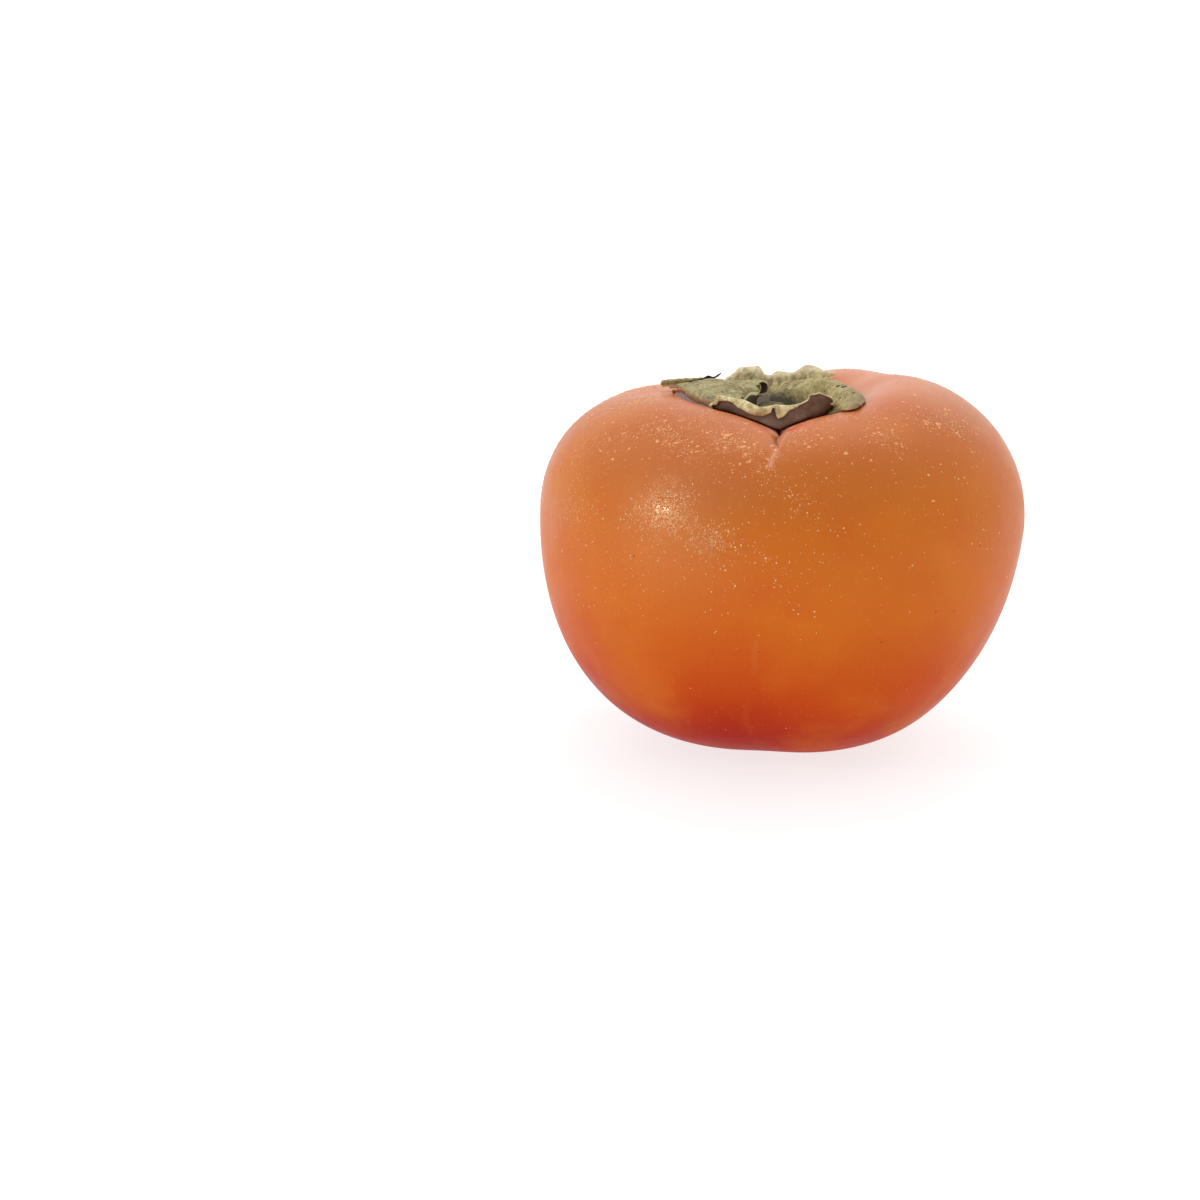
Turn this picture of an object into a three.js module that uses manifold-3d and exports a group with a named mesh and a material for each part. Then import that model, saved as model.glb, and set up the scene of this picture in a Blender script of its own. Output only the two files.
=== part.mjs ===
// A ripe persimmon resting on its blossom end, with its dried calyx on top.
// Millimetres, +Z up. The origin is the middle of the flat spot that the fruit rests on.
// Three pieces: the fruit, the calyx (its disc and four lobes grew as one) and the cut stub of the stem.
import * as THREE from "three";
import { mergeVertices } from "three/addons/utils/BufferGeometryUtils.js";
import Module from "manifold-3d";

const radians = THREE.MathUtils.degToRad;
const { lerp, smoothstep } = THREE.MathUtils;

// ---- Fruit ----
const GIRTH_RADIUS = 42; // mean radius of the widest ring
const GIRTH_HEIGHT = 39; // height of the widest ring over the flat spot
const CROWN_RISE = 26.4; // from the widest ring up to the crown, before the cavity is taken out
const BELLY_DROP = 39.5; // from the widest ring down; the last half millimetre is pressed flat
const CROWN_POWER = { side: 2.9, top: 2.3 }; // squareness of the shoulders
const BELLY_POWER = { side: 2.87, bottom: 2.07 }; // squareness of the belly
const CAVITY = { depth: 12.5, radius: 13.65 }; // the bowl that the stem and calyx sit in

// The four segments of the berry swell unevenly round the axis. Each row is a smooth
// hollow: azimuth and half width in degrees, then how far it lowers the shoulder, draws in
// the girth and draws in the lower flank. A negative value is a bulge.
const HOLLOWS = [
  { azimuth: -98, width: 18, shoulder: 0.6, girth: 1.3, flank: 2.5 },
  { azimuth: -55, width: 30, shoulder: 0.3, girth: 0.5, flank: -2.3 },
  { azimuth: -12, width: 26, shoulder: -0.85, girth: -1.2, flank: 2.2 },
  { azimuth: 40, width: 14, shoulder: 0.85, girth: -0.3, flank: -0.8 },
  { azimuth: 85, width: 30, shoulder: 2.6, girth: 0.7, flank: 1.2 },
  { azimuth: 113, width: 24, shoulder: 2.9, girth: 0, flank: 0 },
  { azimuth: 130, width: 36, shoulder: 1.9, girth: 1.1, flank: -0.8 },
  { azimuth: 172, width: 26, shoulder: 1.5, girth: -0.2, flank: 0 },
  { azimuth: -145, width: 32, shoulder: 0.3, girth: 0.3, flank: -2.5 },
];
const SHOULDER = { at: 0.55, spread: 0.3 }; // where a hollow lowers the crown, as shares of the radius

// Sharp creases that run out of the cavity over the shoulder, between two segments.
const CREASES = [
  { azimuth: -93.5, depth: 3.1, width: 4.6 },
  { azimuth: 88, depth: 2.2, width: 4 },
];
const CREASE_RUN = { deepest: 17, inner: 4.5, outer: 10 }; // distances from the axis, in its fade
const CREASE_TAPER = { from: 20, to: 32, share: 0.6 }; // it narrows as it runs out
const CREASE_COLUMNS = [-6, -4, -2.5, -1.2, 0, 1.2, 2.5, 4, 6]; // degrees, where the mesh is finer

// ---- Calyx ----
const CALYX_CENTRE = new THREE.Vector3(-1.5, 0, 58);
const DISC = { radius: 9.6, dish: 0.7, rim: 0.9 }; // woody disc: dish of its top, thickness of its rim
const SEAT_GAP = 0.35; // clearance between the calyx and the skin
const BLADE = 0.8; // thickness of a lobe
const ROOT = { distance: 5, sunk: 0.6 }; // where each lobe starts, inside the disc
const WAVE = { height: 0.22, perMm: 1.4, slant: 1.3, power: 6 }; // ripple of the lobes' margins

// Each lobe is a sheet through hand-set points. Rows run from the disc's edge out to the tip,
// and each row runs from one margin to the other: [x, y, z] from the calyx centre.
const FRONT_LOBE = [
  [
    [-9, -5, 0.9], [-7.6, -6.9, 0.7], [-5.2, -8.4, 0.4], [-2.6, -9.6, 0.1], [0, -10, -0.2],
    [2.6, -9.6, 0.1], [5.2, -8.4, 0.4], [7.6, -6.9, 0.7], [9, -5, 0.9],
  ],
  [
    [-10.8, -9.6, 3], [-9.2, -10.9, 2.9], [-6.6, -12.4, 2.4], [-3.3, -13.7, 1.4], [-0.2, -14.4, 0.5],
    [3.2, -13.4, 1.2], [6.2, -11.9, 2], [8.4, -10.3, 2.7], [10, -9, 3],
  ],
  [
    [-10.1, -11.5, 4.6], [-8.5, -12.3, 4.4], [-5.7, -13.4, 3.6], [-3, -14.1, 2.7], [-0.1, -14.4, 2.5],
    [2.7, -13.9, 2.8], [5.2, -12.8, 3.7], [8, -11.4, 4.8], [10.2, -10.4, 4.4],
  ],
  [
    [-9.8, -12.4, 5.6], [-7.6, -13, 5.4], [-5, -13.8, 4.7], [-2.5, -14.2, 4.1], [-0.1, -14.1, 4.6],
    [2.4, -14, 4.2], [4.8, -13.1, 5], [7.6, -12.1, 6.2], [10.1, -11.4, 5.2],
  ],
];
const RIGHT_LOBE = [
  [[7.5, -6.5, 0.8], [8.6, -3.5, 1.2], [7.6, 0, 1.8], [5, 3.8, 2.4], [0.4, 7, 1.6]],
  [[10.2, -10.6, 2.8], [10.9, -5.8, 4.3], [9.8, -0.5, 5.2], [7.4, 4.2, 4.6], [4, 8, 3.5]],
  [[11.4, -15.4, 4.5], [12.8, -8.8, 5.4], [12.6, -1.4, 5.1], [11, 4.5, 4.4], [9, 9, 3.2]],
  [[13.2, -16, 4.6], [14.8, -9.6, 5.1], [14.6, -1.4, 4.2], [13.6, 4, 3.4], [12.3, 8.6, 2.9]],
  [[14.4, -15.4, 4.5], [15.9, -10, 4.6], [15.9, -2.6, 3.6], [15, 3.2, 2.9], [13.8, 7.3, 2.7]],
];
const BACK_LOBE = [
  [
    [-7.5, 6, 0.8], [-6.3, 7.1, 0.7], [-5.2, 7.8, 0.5], [-3.6, 8.5, 0.4], [-1.8, 9.1, 0.3],
    [0.6, 9.3, 0.3], [3, 9, 0.4], [4.8, 8.3, 0.6], [6.2, 7.3, 0.9], [7.4, 6.3, 1.2],
  ],
  [
    [-8.2, 9.3, 2.4], [-6.6, 10.2, 2.6], [-5.2, 10.9, 2.6], [-3.4, 11.5, 2.5], [-1.4, 11.9, 2.1],
    [1.2, 12.1, 1.9], [3.8, 11.8, 2.2], [5.8, 11.3, 2.8], [7.6, 10.7, 3.1], [9.6, 9.9, 3.2],
  ],
  [
    [-8, 10.6, 2.9], [-6, 12.2, 3.6], [-4.9, 12.6, 4.1], [-2.3, 13, 4.2], [-0.7, 13.2, 3.2],
    [1.4, 13.8, 3], [4.1, 13.3, 3.4], [6.1, 12.9, 4.1], [8.1, 12.4, 4.2], [11.2, 11.6, 4.2],
  ],
  [
    [-7.9, 11.2, 2.9], [-5.8, 13.2, 3.8], [-4.8, 13.8, 4.6], [-1.9, 14.2, 4.8], [-0.5, 14.4, 3.5],
    [1.5, 15.2, 3.5], [4.4, 14.7, 3.8], [6.1, 14.2, 4.7], [8.2, 13.8, 4.7], [12.4, 13, 4.4],
  ],
];
const LEFT_LOBE = [
  [[-5.1, -4, 3.6], [-4.2, -2.2, 4.3], [-2.9, -0.5, 3.9], [-2.4, 2.6, 3.9], [-3, 5.4, 4]],
  [[-6.4, -6, 3.7], [-8, -2.6, 5], [-8.6, 1.2, 5.2], [-8.4, 4.2, 4.5], [-7.4, 6.8, 3.6]],
  [[-8.8, -9.2, 4.2], [-11.4, -5.4, 4.9], [-12.8, 0.4, 5.1], [-13, 4, 4.4], [-13, 6.6, 3.7]],
  [[-10.6, -10.8, 4], [-13.3, -7.2, 4.3], [-15.6, -1, 4.1], [-16.8, 4, 3.7], [-19.2, 6.2, 3.8]],
];
const LOBES = [FRONT_LOBE, RIGHT_LOBE, BACK_LOBE, LEFT_LOBE];
const SHEET_STEPS = { along: 15, across: 14 };

// The left lobe's back margin is rolled up into a little open tube over the disc.
const ROLL = { from: [-4.6, 6, 2.6], to: [-1, 4.4, 3.1], inner: 0.95, outer: 1.4 };
const ROLL_TURN = { start: radians(-150), sweep: radians(317) };
const ROLL_STEPS = { along: 5, round: 14 };

// ---- Stem stub ----
const STUB = { radius: 2.3, foot: 2.9, height: 1.9, pith: 0.5 }; // cut off just over the disc
const STUB_SHARES = { neck: 0.88, shoulder: 0.8, cut: 0.85, pith: 0.4 }; // of its radii and height

const SIDES = { fruit: 60, disc: 48, stub: 20 };
const RINGS = { crown: 21, belly: 17, disc: 7 };

const COLOURS = { skin: 0xd9702a, calyx: 0xa59a68, stem: 0x5b4630 };

const wasm = await Module();
wasm.setup();

const wrapAngle = (a) => Math.atan2(Math.sin(a), Math.cos(a));

// The sum of all hollows of one kind at an azimuth.
function hollow(azimuth, kind) {
  let sum = 0;
  for (const h of HOLLOWS) {
    const off = wrapAngle(azimuth - radians(h.azimuth)) / radians(h.width);
    sum += h[kind] * Math.exp(-off * off);
  }
  return sum;
}

function creaseDepth(distance, azimuth) {
  const span = distance < CREASE_RUN.deepest ? CREASE_RUN.inner : CREASE_RUN.outer;
  const fade = Math.exp(-(((distance - CREASE_RUN.deepest) / span) ** 2));
  const taper = 1 - CREASE_TAPER.share * smoothstep(distance, CREASE_TAPER.from, CREASE_TAPER.to);
  let sum = 0;
  for (const c of CREASES) {
    const off = wrapAngle(azimuth - radians(c.azimuth));
    if (Math.abs(off) < Math.PI / 2)
      sum += c.depth * fade * Math.exp((-Math.abs(off) * distance) / (c.width * taper));
  }
  return sum;
}

// Height of the skin above the widest ring.
function crownHeight(x, y) {
  const distance = Math.hypot(x, y);
  const azimuth = Math.atan2(y, x);
  const share = Math.min(distance / (GIRTH_RADIUS - hollow(azimuth, "girth")), 1);
  const dome = CROWN_RISE * (1 - share ** CROWN_POWER.side) ** (1 / CROWN_POWER.top);
  const bowl = CAVITY.depth * Math.exp(-((distance / CAVITY.radius) ** 2));
  const dip = hollow(azimuth, "shoulder") * Math.exp(-(((share - SHOULDER.at) / SHOULDER.spread) ** 2));
  return GIRTH_HEIGHT + dome - bowl - dip - creaseDepth(distance, azimuth);
}

// Distance of the skin from the axis below the widest ring; down is 0 there and 1 at the tip.
function bellyRadius(down, azimuth) {
  const profile = (1 - down ** BELLY_POWER.bottom) ** (1 / BELLY_POWER.side);
  const drawnIn = hollow(azimuth, "girth") * (1 - down) + hollow(azimuth, "flank") * down;
  return profile * (GIRTH_RADIUS - drawnIn);
}

// Even azimuths, with finer ones beside each crease so that its edge stays sharp.
function fruitAzimuths() {
  const list = CREASES.flatMap((c) => CREASE_COLUMNS.map((d) => radians(c.azimuth + d)));
  const step = (2 * Math.PI) / SIDES.fruit;
  const reach = radians(CREASE_COLUMNS.at(-1)) + step / 3;
  for (let i = 0; i < SIDES.fruit; i++) {
    const a = i * step;
    if (CREASES.every((c) => Math.abs(wrapAngle(a - radians(c.azimuth))) > reach)) list.push(a);
  }
  return list.map(wrapAngle).sort((a, b) => a - b);
}

// A closed skin through rings of points, from a top point down to a bottom point.
function closedRings(top, rings, bottom) {
  const sides = rings[0].length;
  const points = [top, ...rings.flat(), bottom];
  const at = (ring, side) => 1 + ring * sides + (side % sides);
  const faces = [];
  for (let s = 0; s < sides; s++) {
    faces.push(0, at(0, s), at(0, s + 1));
    for (let r = 0; r + 1 < rings.length; r++) {
      faces.push(at(r, s), at(r + 1, s), at(r + 1, s + 1));
      faces.push(at(r, s), at(r + 1, s + 1), at(r, s + 1));
    }
    faces.push(at(rings.length - 1, s), points.length - 1, at(rings.length - 1, s + 1));
  }
  return indexed(points, faces);
}

function indexed(points, faces) {
  const geometry = new THREE.BufferGeometry().setFromPoints(points);
  geometry.setIndex(faces);
  return geometry;
}

function fruitGeometry() {
  const azimuths = fruitAzimuths();
  const rings = [];
  for (let i = 1; i <= RINGS.crown; i++) {
    const share = Math.sin(((i / RINGS.crown) * Math.PI) / 2);
    rings.push(
      azimuths.map((a) => {
        const distance = share * (GIRTH_RADIUS - hollow(a, "girth"));
        const x = distance * Math.cos(a);
        const y = distance * Math.sin(a);
        return new THREE.Vector3(x, y, crownHeight(x, y));
      }),
    );
  }
  const flatAt = GIRTH_HEIGHT / BELLY_DROP;
  for (let i = 1; i <= RINGS.belly; i++) {
    const down = flatAt * Math.sin(((i / RINGS.belly) * Math.PI) / 2);
    const z = i === RINGS.belly ? 0 : GIRTH_HEIGHT - BELLY_DROP * down;
    rings.push(
      azimuths.map((a) => {
        const distance = bellyRadius(down, a);
        return new THREE.Vector3(distance * Math.cos(a), distance * Math.sin(a), z);
      }),
    );
  }
  return closedRings(new THREE.Vector3(0, 0, crownHeight(0, 0)), rings, new THREE.Vector3(0, 0, 0));
}

// The woody disc: its underside follows the cavity, its top is slightly dished.
function discGeometry() {
  const ringAt = (share, height) => {
    const ring = [];
    for (let i = 0; i < SIDES.disc; i++) {
      const a = (i / SIDES.disc) * 2 * Math.PI;
      const x = CALYX_CENTRE.x + share * DISC.radius * Math.cos(a);
      const y = CALYX_CENTRE.y + share * DISC.radius * Math.sin(a);
      ring.push(new THREE.Vector3(x, y, height(x, y, share)));
    }
    return ring;
  };
  const under = (x, y) => crownHeight(x, y) + SEAT_GAP;
  const over = (x, y, share) =>
    Math.max(CALYX_CENTRE.z - DISC.dish * (1 - share * share), under(x, y) + DISC.rim);
  const rings = [];
  for (let i = 1; i <= RINGS.disc; i++) rings.push(ringAt(i / RINGS.disc, over));
  for (let i = RINGS.disc; i >= 1; i--) rings.push(ringAt(i / RINGS.disc, under));
  const { x, y } = CALYX_CENTRE;
  return closedRings(new THREE.Vector3(x, y, over(x, y, 0)), rings, new THREE.Vector3(x, y, under(x, y)));
}

// A lobe's control rows with its root, a row inside the disc below the first one.
function rooted(control) {
  const root = control[0].map(([x, y]) => {
    const scale = ROOT.distance / Math.hypot(x, y);
    return [x * scale, y * scale, -ROOT.sunk];
  });
  return [root, ...control].map((row) => row.map((p) => new THREE.Vector3(...p)));
}

// Points of a Catmull-Rom sheet through a lobe's control rows, laid clear of the skin.
function lobePoints(control) {
  const rowCurves = rooted(control).map((row) => new THREE.CatmullRomCurve3(row));
  const rows = Array.from({ length: SHEET_STEPS.along + 1 }, () => []);
  for (let j = 0; j <= SHEET_STEPS.across; j++) {
    const across = j / SHEET_STEPS.across;
    const spine = new THREE.CatmullRomCurve3(rowCurves.map((c) => c.getPoint(across)));
    rows.forEach((row, i) => {
      const along = i / SHEET_STEPS.along;
      const p = spine.getPoint(along).add(CALYX_CENTRE);
      const margin = Math.max(Math.abs(2 * across - 1), along) ** WAVE.power * along;
      p.z += WAVE.height * margin * Math.sin(WAVE.perMm * (WAVE.slant * p.x + p.y));
      p.z = Math.max(p.z, crownHeight(p.x, p.y) + SEAT_GAP + BLADE);
      row.push(p);
    });
  }
  return rows;
}

// A closed blade of even thickness round a sheet of points, split alike on both faces.
function bladeGeometry(rows) {
  const height = rows.length;
  const width = rows[0].length;
  const between = (a, b) => new THREE.Vector3().subVectors(b, a);
  const normalAt = (i, j) => {
    const along = between(rows[Math.max(i - 1, 0)][j], rows[Math.min(i + 1, height - 1)][j]);
    const across = between(rows[i][Math.max(j - 1, 0)], rows[i][Math.min(j + 1, width - 1)]);
    return along.cross(across).normalize();
  };
  const faceAt = (offset) =>
    rows.flatMap((row, i) => row.map((p, j) => p.clone().addScaledVector(normalAt(i, j), offset)));
  const points = [...faceAt(BLADE / 2), ...faceAt(-BLADE / 2)];
  const front = (i, j) => i * width + j;
  const back = (i, j) => height * width + i * width + j;
  const faces = [];
  for (let i = 0; i + 1 < height; i++) {
    for (let j = 0; j + 1 < width; j++) {
      faces.push(front(i, j), front(i + 1, j), front(i + 1, j + 1));
      faces.push(front(i, j), front(i + 1, j + 1), front(i, j + 1));
      faces.push(back(i, j), back(i + 1, j + 1), back(i + 1, j));
      faces.push(back(i, j), back(i, j + 1), back(i + 1, j + 1));
    }
  }
  const rim = [];
  for (let j = 0; j < width - 1; j++) rim.push([0, j]);
  for (let i = 0; i < height - 1; i++) rim.push([i, width - 1]);
  for (let j = width - 1; j > 0; j--) rim.push([height - 1, j]);
  for (let i = height - 1; i > 0; i--) rim.push([i, 0]);
  rim.forEach(([i, j], k) => {
    const [m, n] = rim[(k + 1) % rim.length];
    faces.push(front(i, j), front(m, n), back(m, n));
    faces.push(front(i, j), back(m, n), back(i, j));
  });
  return indexed(points, faces);
}

// Points of the rolled margin: a spiral swept along its line.
function rollPoints() {
  const from = new THREE.Vector3(...ROLL.from).add(CALYX_CENTRE);
  const line = new THREE.Vector3(...ROLL.to).add(CALYX_CENTRE).sub(from);
  const side = line.clone().cross(new THREE.Vector3(0, 0, 1)).normalize();
  const up = side.clone().cross(line).normalize();
  const rows = [];
  for (let i = 0; i <= ROLL_STEPS.along; i++) {
    const row = [];
    for (let j = 0; j <= ROLL_STEPS.round; j++) {
      const share = j / ROLL_STEPS.round;
      const angle = ROLL_TURN.start + ROLL_TURN.sweep * share;
      const radius = lerp(ROLL.inner, ROLL.outer, share);
      const p = from.clone().addScaledVector(line, i / ROLL_STEPS.along);
      p.addScaledVector(side, radius * Math.cos(angle)).addScaledVector(up, radius * Math.sin(angle));
      row.push(p);
    }
    rows.push(row);
  }
  return rows;
}

function solidOf(geometry) {
  const merged = mergeVertices(geometry, 1e-4);
  const solid = new wasm.Manifold(
    new wasm.Mesh({
      numProp: 3,
      vertProperties: new Float32Array(merged.attributes.position.array),
      triVerts: new Uint32Array(merged.index.array),
    }),
  );
  if (solid.volume() < 0) throw new Error("a piece is inside out");
  return solid;
}

function geometryOf(solid) {
  const mesh = solid.getMesh();
  const geometry = new THREE.BufferGeometry();
  geometry.setAttribute("position", new THREE.BufferAttribute(new Float32Array(mesh.vertProperties), 3));
  geometry.setIndex(new THREE.BufferAttribute(mesh.triVerts, 1));
  return geometry;
}

function calyxGeometry() {
  const blades = [...LOBES.map(lobePoints), rollPoints()].map(bladeGeometry).map(solidOf);
  const whole = blades.reduce((sum, blade) => sum.add(blade), solidOf(discGeometry()));
  return geometryOf(largestBody(whole));
}

// Pockets that the fused blades seal are filled, and loose crumbs are dropped.
function largestBody(solid) {
  return solid.decompose().sort((a, b) => b.volume() - a.volume())[0];
}

// The stub: a short flared plug, cut flat with a soft pith, standing on the dished disc.
function stubGeometry() {
  const footHeight = DISC.dish * ((STUB.foot / DISC.radius) ** 2 - 1) + SEAT_GAP;
  const profile = [
    [0, 0],
    [STUB.foot, 0],
    [STUB.foot * STUB_SHARES.neck, STUB.height * (1 - STUB_SHARES.shoulder)],
    [STUB.radius, STUB.height * STUB_SHARES.shoulder],
    [STUB.radius * STUB_SHARES.cut, STUB.height],
    [STUB.radius * STUB_SHARES.pith, STUB.height],
    [0, STUB.height - STUB.pith],
  ].map(([r, z]) => new THREE.Vector2(r, z));
  const lathe = new THREE.LatheGeometry(profile, SIDES.stub);
  lathe.rotateX(Math.PI / 2);
  lathe.translate(CALYX_CENTRE.x, CALYX_CENTRE.y, CALYX_CENTRE.z + footHeight);
  return lathe;
}

function piece(name, geometry, colour, roughness) {
  const material = new THREE.MeshStandardMaterial({ color: colour, roughness, metalness: 0 });
  const mesh = new THREE.Mesh(geometry, material);
  mesh.name = name;
  return mesh;
}

const persimmon = new THREE.Group();
persimmon.add(piece("fruit", fruitGeometry(), COLOURS.skin, 0.35));
persimmon.add(piece("calyx", calyxGeometry(), COLOURS.calyx, 0.85));
persimmon.add(piece("stem_stub", stubGeometry(), COLOURS.stem, 0.9));

export default persimmon;
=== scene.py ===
import math

import bpy
import numpy as np
from mathutils import Matrix, Vector


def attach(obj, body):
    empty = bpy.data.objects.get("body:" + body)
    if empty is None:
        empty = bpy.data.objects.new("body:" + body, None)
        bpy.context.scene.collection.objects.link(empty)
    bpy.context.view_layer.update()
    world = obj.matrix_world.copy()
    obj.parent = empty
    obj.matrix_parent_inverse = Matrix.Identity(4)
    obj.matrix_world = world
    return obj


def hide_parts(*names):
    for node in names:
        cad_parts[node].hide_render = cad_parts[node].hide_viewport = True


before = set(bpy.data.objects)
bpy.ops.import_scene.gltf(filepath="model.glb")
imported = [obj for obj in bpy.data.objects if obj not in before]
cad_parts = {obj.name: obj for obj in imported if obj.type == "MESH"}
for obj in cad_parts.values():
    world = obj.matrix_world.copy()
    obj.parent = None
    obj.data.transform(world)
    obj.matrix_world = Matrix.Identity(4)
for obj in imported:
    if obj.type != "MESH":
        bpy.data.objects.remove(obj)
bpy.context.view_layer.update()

MM = 0.001

# ---- Fruit, as in the CAD source ----
GIRTH_RADIUS = 42.0
GIRTH_HEIGHT = 39.0
CROWN_RISE = 26.4
BELLY_DROP = 39.5
CROWN_SIDE, CROWN_TOP = 2.9, 2.3
BELLY_SIDE, BELLY_BOTTOM = 2.87, 2.07
CAVITY_DEPTH, CAVITY_RADIUS = 12.5, 13.65
# azimuth, half width, shoulder drop, girth loss, flank loss
HOLLOWS = (
    (-98, 18, 0.6, 1.3, 2.5),
    (-55, 30, 0.3, 0.5, -2.3),
    (-12, 26, -0.85, -1.2, 2.2),
    (40, 14, 0.85, -0.3, -0.8),
    (85, 30, 2.6, 0.7, 1.2),
    (113, 24, 2.9, 0.0, 0.0),
    (130, 36, 1.9, 1.1, -0.8),
    (172, 26, 1.5, -0.2, 0.0),
    (-145, 32, 0.3, 0.3, -2.5),
)
SHOULDER, GIRTH, FLANK = 2, 3, 4  # columns of HOLLOWS
SHOULDER_AT, SHOULDER_SPREAD = 0.55, 0.3
CREASES = ((-93.5, 3.1, 4.6), (88, 2.2, 4.0))  # azimuth, depth, width
CREASE_DEEPEST, CREASE_INNER, CREASE_OUTER = 17.0, 4.5, 10.0
TAPER_FROM, TAPER_TO, TAPER_SHARE = 20.0, 32.0, 0.6

# ---- Calyx, close to the CAD source's, measured from CALYX_CENTRE ----
CALYX_CENTRE = np.array((-1.5, 0.0, 58.0))
DISC_RADIUS, DISC_DISH = 9.6, 0.7
ROOT_DISTANCE, ROOT_SUNK = 5.0, 0.6
FRONT_LOBE = (
    ((-9, -5, 0.9), (-7.6, -6.9, 0.7), (-5.2, -8.4, 0.4), (-2.6, -9.6, 0.1), (0, -10, -0.2),
     (2.6, -9.6, 0.1), (5.2, -8.4, 0.4), (6.4, -7.8, 0.55), (7.4, -7.1, 0.65), (8.3, -6.1, 0.8),
     (9, -5, 0.9)),
    ((-10.8, -9.6, 3), (-9.2, -10.9, 2.9), (-6.6, -12.4, 2.4), (-3.3, -13.7, 1.4), (-0.2, -14.4, 0.5),
     (3.2, -13.4, 1.2), (6.2, -11.9, 2), (7.2, -11.2, 2.3), (8.2, -10.5, 2.6), (9.2, -9.8, 2.85),
     (10, -9, 3)),
    ((-10.1, -11.5, 4.6), (-8.5, -12.3, 4.4), (-5.7, -13.4, 3.6), (-3, -14.1, 2.7), (-0.1, -14.4, 2.5),
     (2.7, -13.9, 2.8), (5.4, -12.8, 3.6), (6.4, -12.3, 4.3), (7.8, -11.6, 4.7), (9.1, -11, 4.6),
     (10.2, -10.4, 4.4)),
    ((-9.8, -12.1, 5.5), (-7.6, -12.7, 5.3), (-5, -13.5, 4.6), (-2.5, -13.9, 4.0), (-0.1, -13.9, 4.4),
     (2.4, -13.7, 4.1), (5.2, -12.8, 4.8), (5.9, -12.5, 5.8), (7.4, -12, 6.15), (9, -11.6, 5.7),
     (10.1, -11.2, 4.9)),
)
RIGHT_LOBE = (
    ((7.5, -6.5, 0.8), (8.6, -3.5, 1.2), (7.6, 0, 1.8), (5, 3.8, 2.4), (0.4, 7, 1.6)),
    ((10.2, -10.6, 2.8), (10.9, -5.8, 4.3), (9.8, -0.5, 5.2), (7.4, 4.2, 4.6), (4, 8, 3.5)),
    ((11.4, -15.2, 4.6), (12.8, -8.8, 5.4), (12.6, -1.4, 5.1), (11, 4.5, 4.4), (9, 9, 3.2)),
    ((13, -15.8, 4.8), (14.4, -9.6, 5.2), (14.2, -1.4, 4.2), (13.2, 4, 3.4), (12, 8.6, 2.9)),
    ((14, -15, 4.7), (15.1, -10, 4.8), (15.1, -2.6, 3.8), (14.2, 3.2, 3), (13.1, 7.3, 2.8)),
)
BACK_LOBE = (
    ((-7.5, 6, 0.8), (-6.3, 7.1, 0.7), (-5.2, 7.8, 0.5), (-3.6, 8.5, 0.4), (-1.8, 9.1, 0.3),
     (0.6, 9.3, 0.3), (3, 9, 0.4), (4.8, 8.3, 0.6), (6.2, 7.3, 0.9), (7.4, 6.3, 1.2)),
    ((-8.2, 9.3, 2.4), (-6.6, 10.2, 2.6), (-5.2, 10.9, 2.6), (-3.4, 11.5, 2.5), (-1.4, 11.9, 2.1),
     (1.2, 12.1, 1.9), (3.8, 11.8, 2.2), (5.8, 11.3, 2.8), (7.6, 10.7, 3.1), (9.6, 9.9, 3.2)),
    ((-8, 10.6, 2.9), (-6, 12.2, 3.6), (-4.9, 12.6, 4.1), (-2.3, 13, 4.2), (-0.7, 13.2, 3.2),
     (1.4, 13.8, 3), (4.1, 13.3, 3.4), (6.1, 12.9, 4.1), (8.1, 12.4, 4.2), (11.2, 11.6, 4.2)),
    ((-7.9, 11, 2.9), (-5.8, 13, 3.8), (-4.8, 13.6, 4.5), (-1.9, 14, 4.7), (-0.5, 14.2, 3.4),
     (1.5, 15, 3.4), (4.4, 14.5, 3.7), (6.1, 14, 4.6), (8.2, 13.6, 4.6), (12.2, 12.8, 4.4)),
)
LEFT_LOBE = (
    ((-5.1, -4, 3.6), (-4.2, -2.2, 4.3), (-2.9, -0.5, 3.9), (-2.4, 2.6, 3.9), (-3, 5.4, 4)),
    ((-6.4, -6, 3.7), (-8, -2.6, 5), (-8.6, 1.2, 5.2), (-8.4, 4.2, 4.5), (-7.4, 6.8, 3.6)),
    ((-8.8, -8.8, 4.4), (-11.4, -5.2, 5), (-12.8, 0.4, 5.1), (-13, 4, 4.3), (-13, 6.4, 3.5)),
    ((-10.4, -10.2, 4.3), (-13.1, -6.8, 4.5), (-15.2, -1, 4.3), (-16.2, 3.6, 3.6), (-17.6, 5.8, 3.2)),
)
ROLL_FROM, ROLL_TO = (-2.6, 5.4, 3.2), (-1.55, 1.2, 4.0)
ROLL_INNER, ROLL_OUTER = 0.95, 1.4
ROLL_START, ROLL_SWEEP = math.radians(30), math.radians(317)
ROLL_ALONG, ROLL_ROUND, ROLL_UNEVEN = 30, 72, 0.12

# ---- Stem stub, as in the CAD source ----
STUB_RADIUS, STUB_FOOT, STUB_HEIGHT, STUB_PITH = 2.3, 2.9, 1.9, 0.5

# ---- Fineness and small relief, in millimetres ----
FRUIT_SIDES, CROWN_RINGS, BELLY_RINGS, FLAT_RINGS = 330, 120, 100, 40
RIPPLE_WAVES = 14
SKIN_SWELL, SKIN_SWELL_SIZE = 0.12, 14.0
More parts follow.
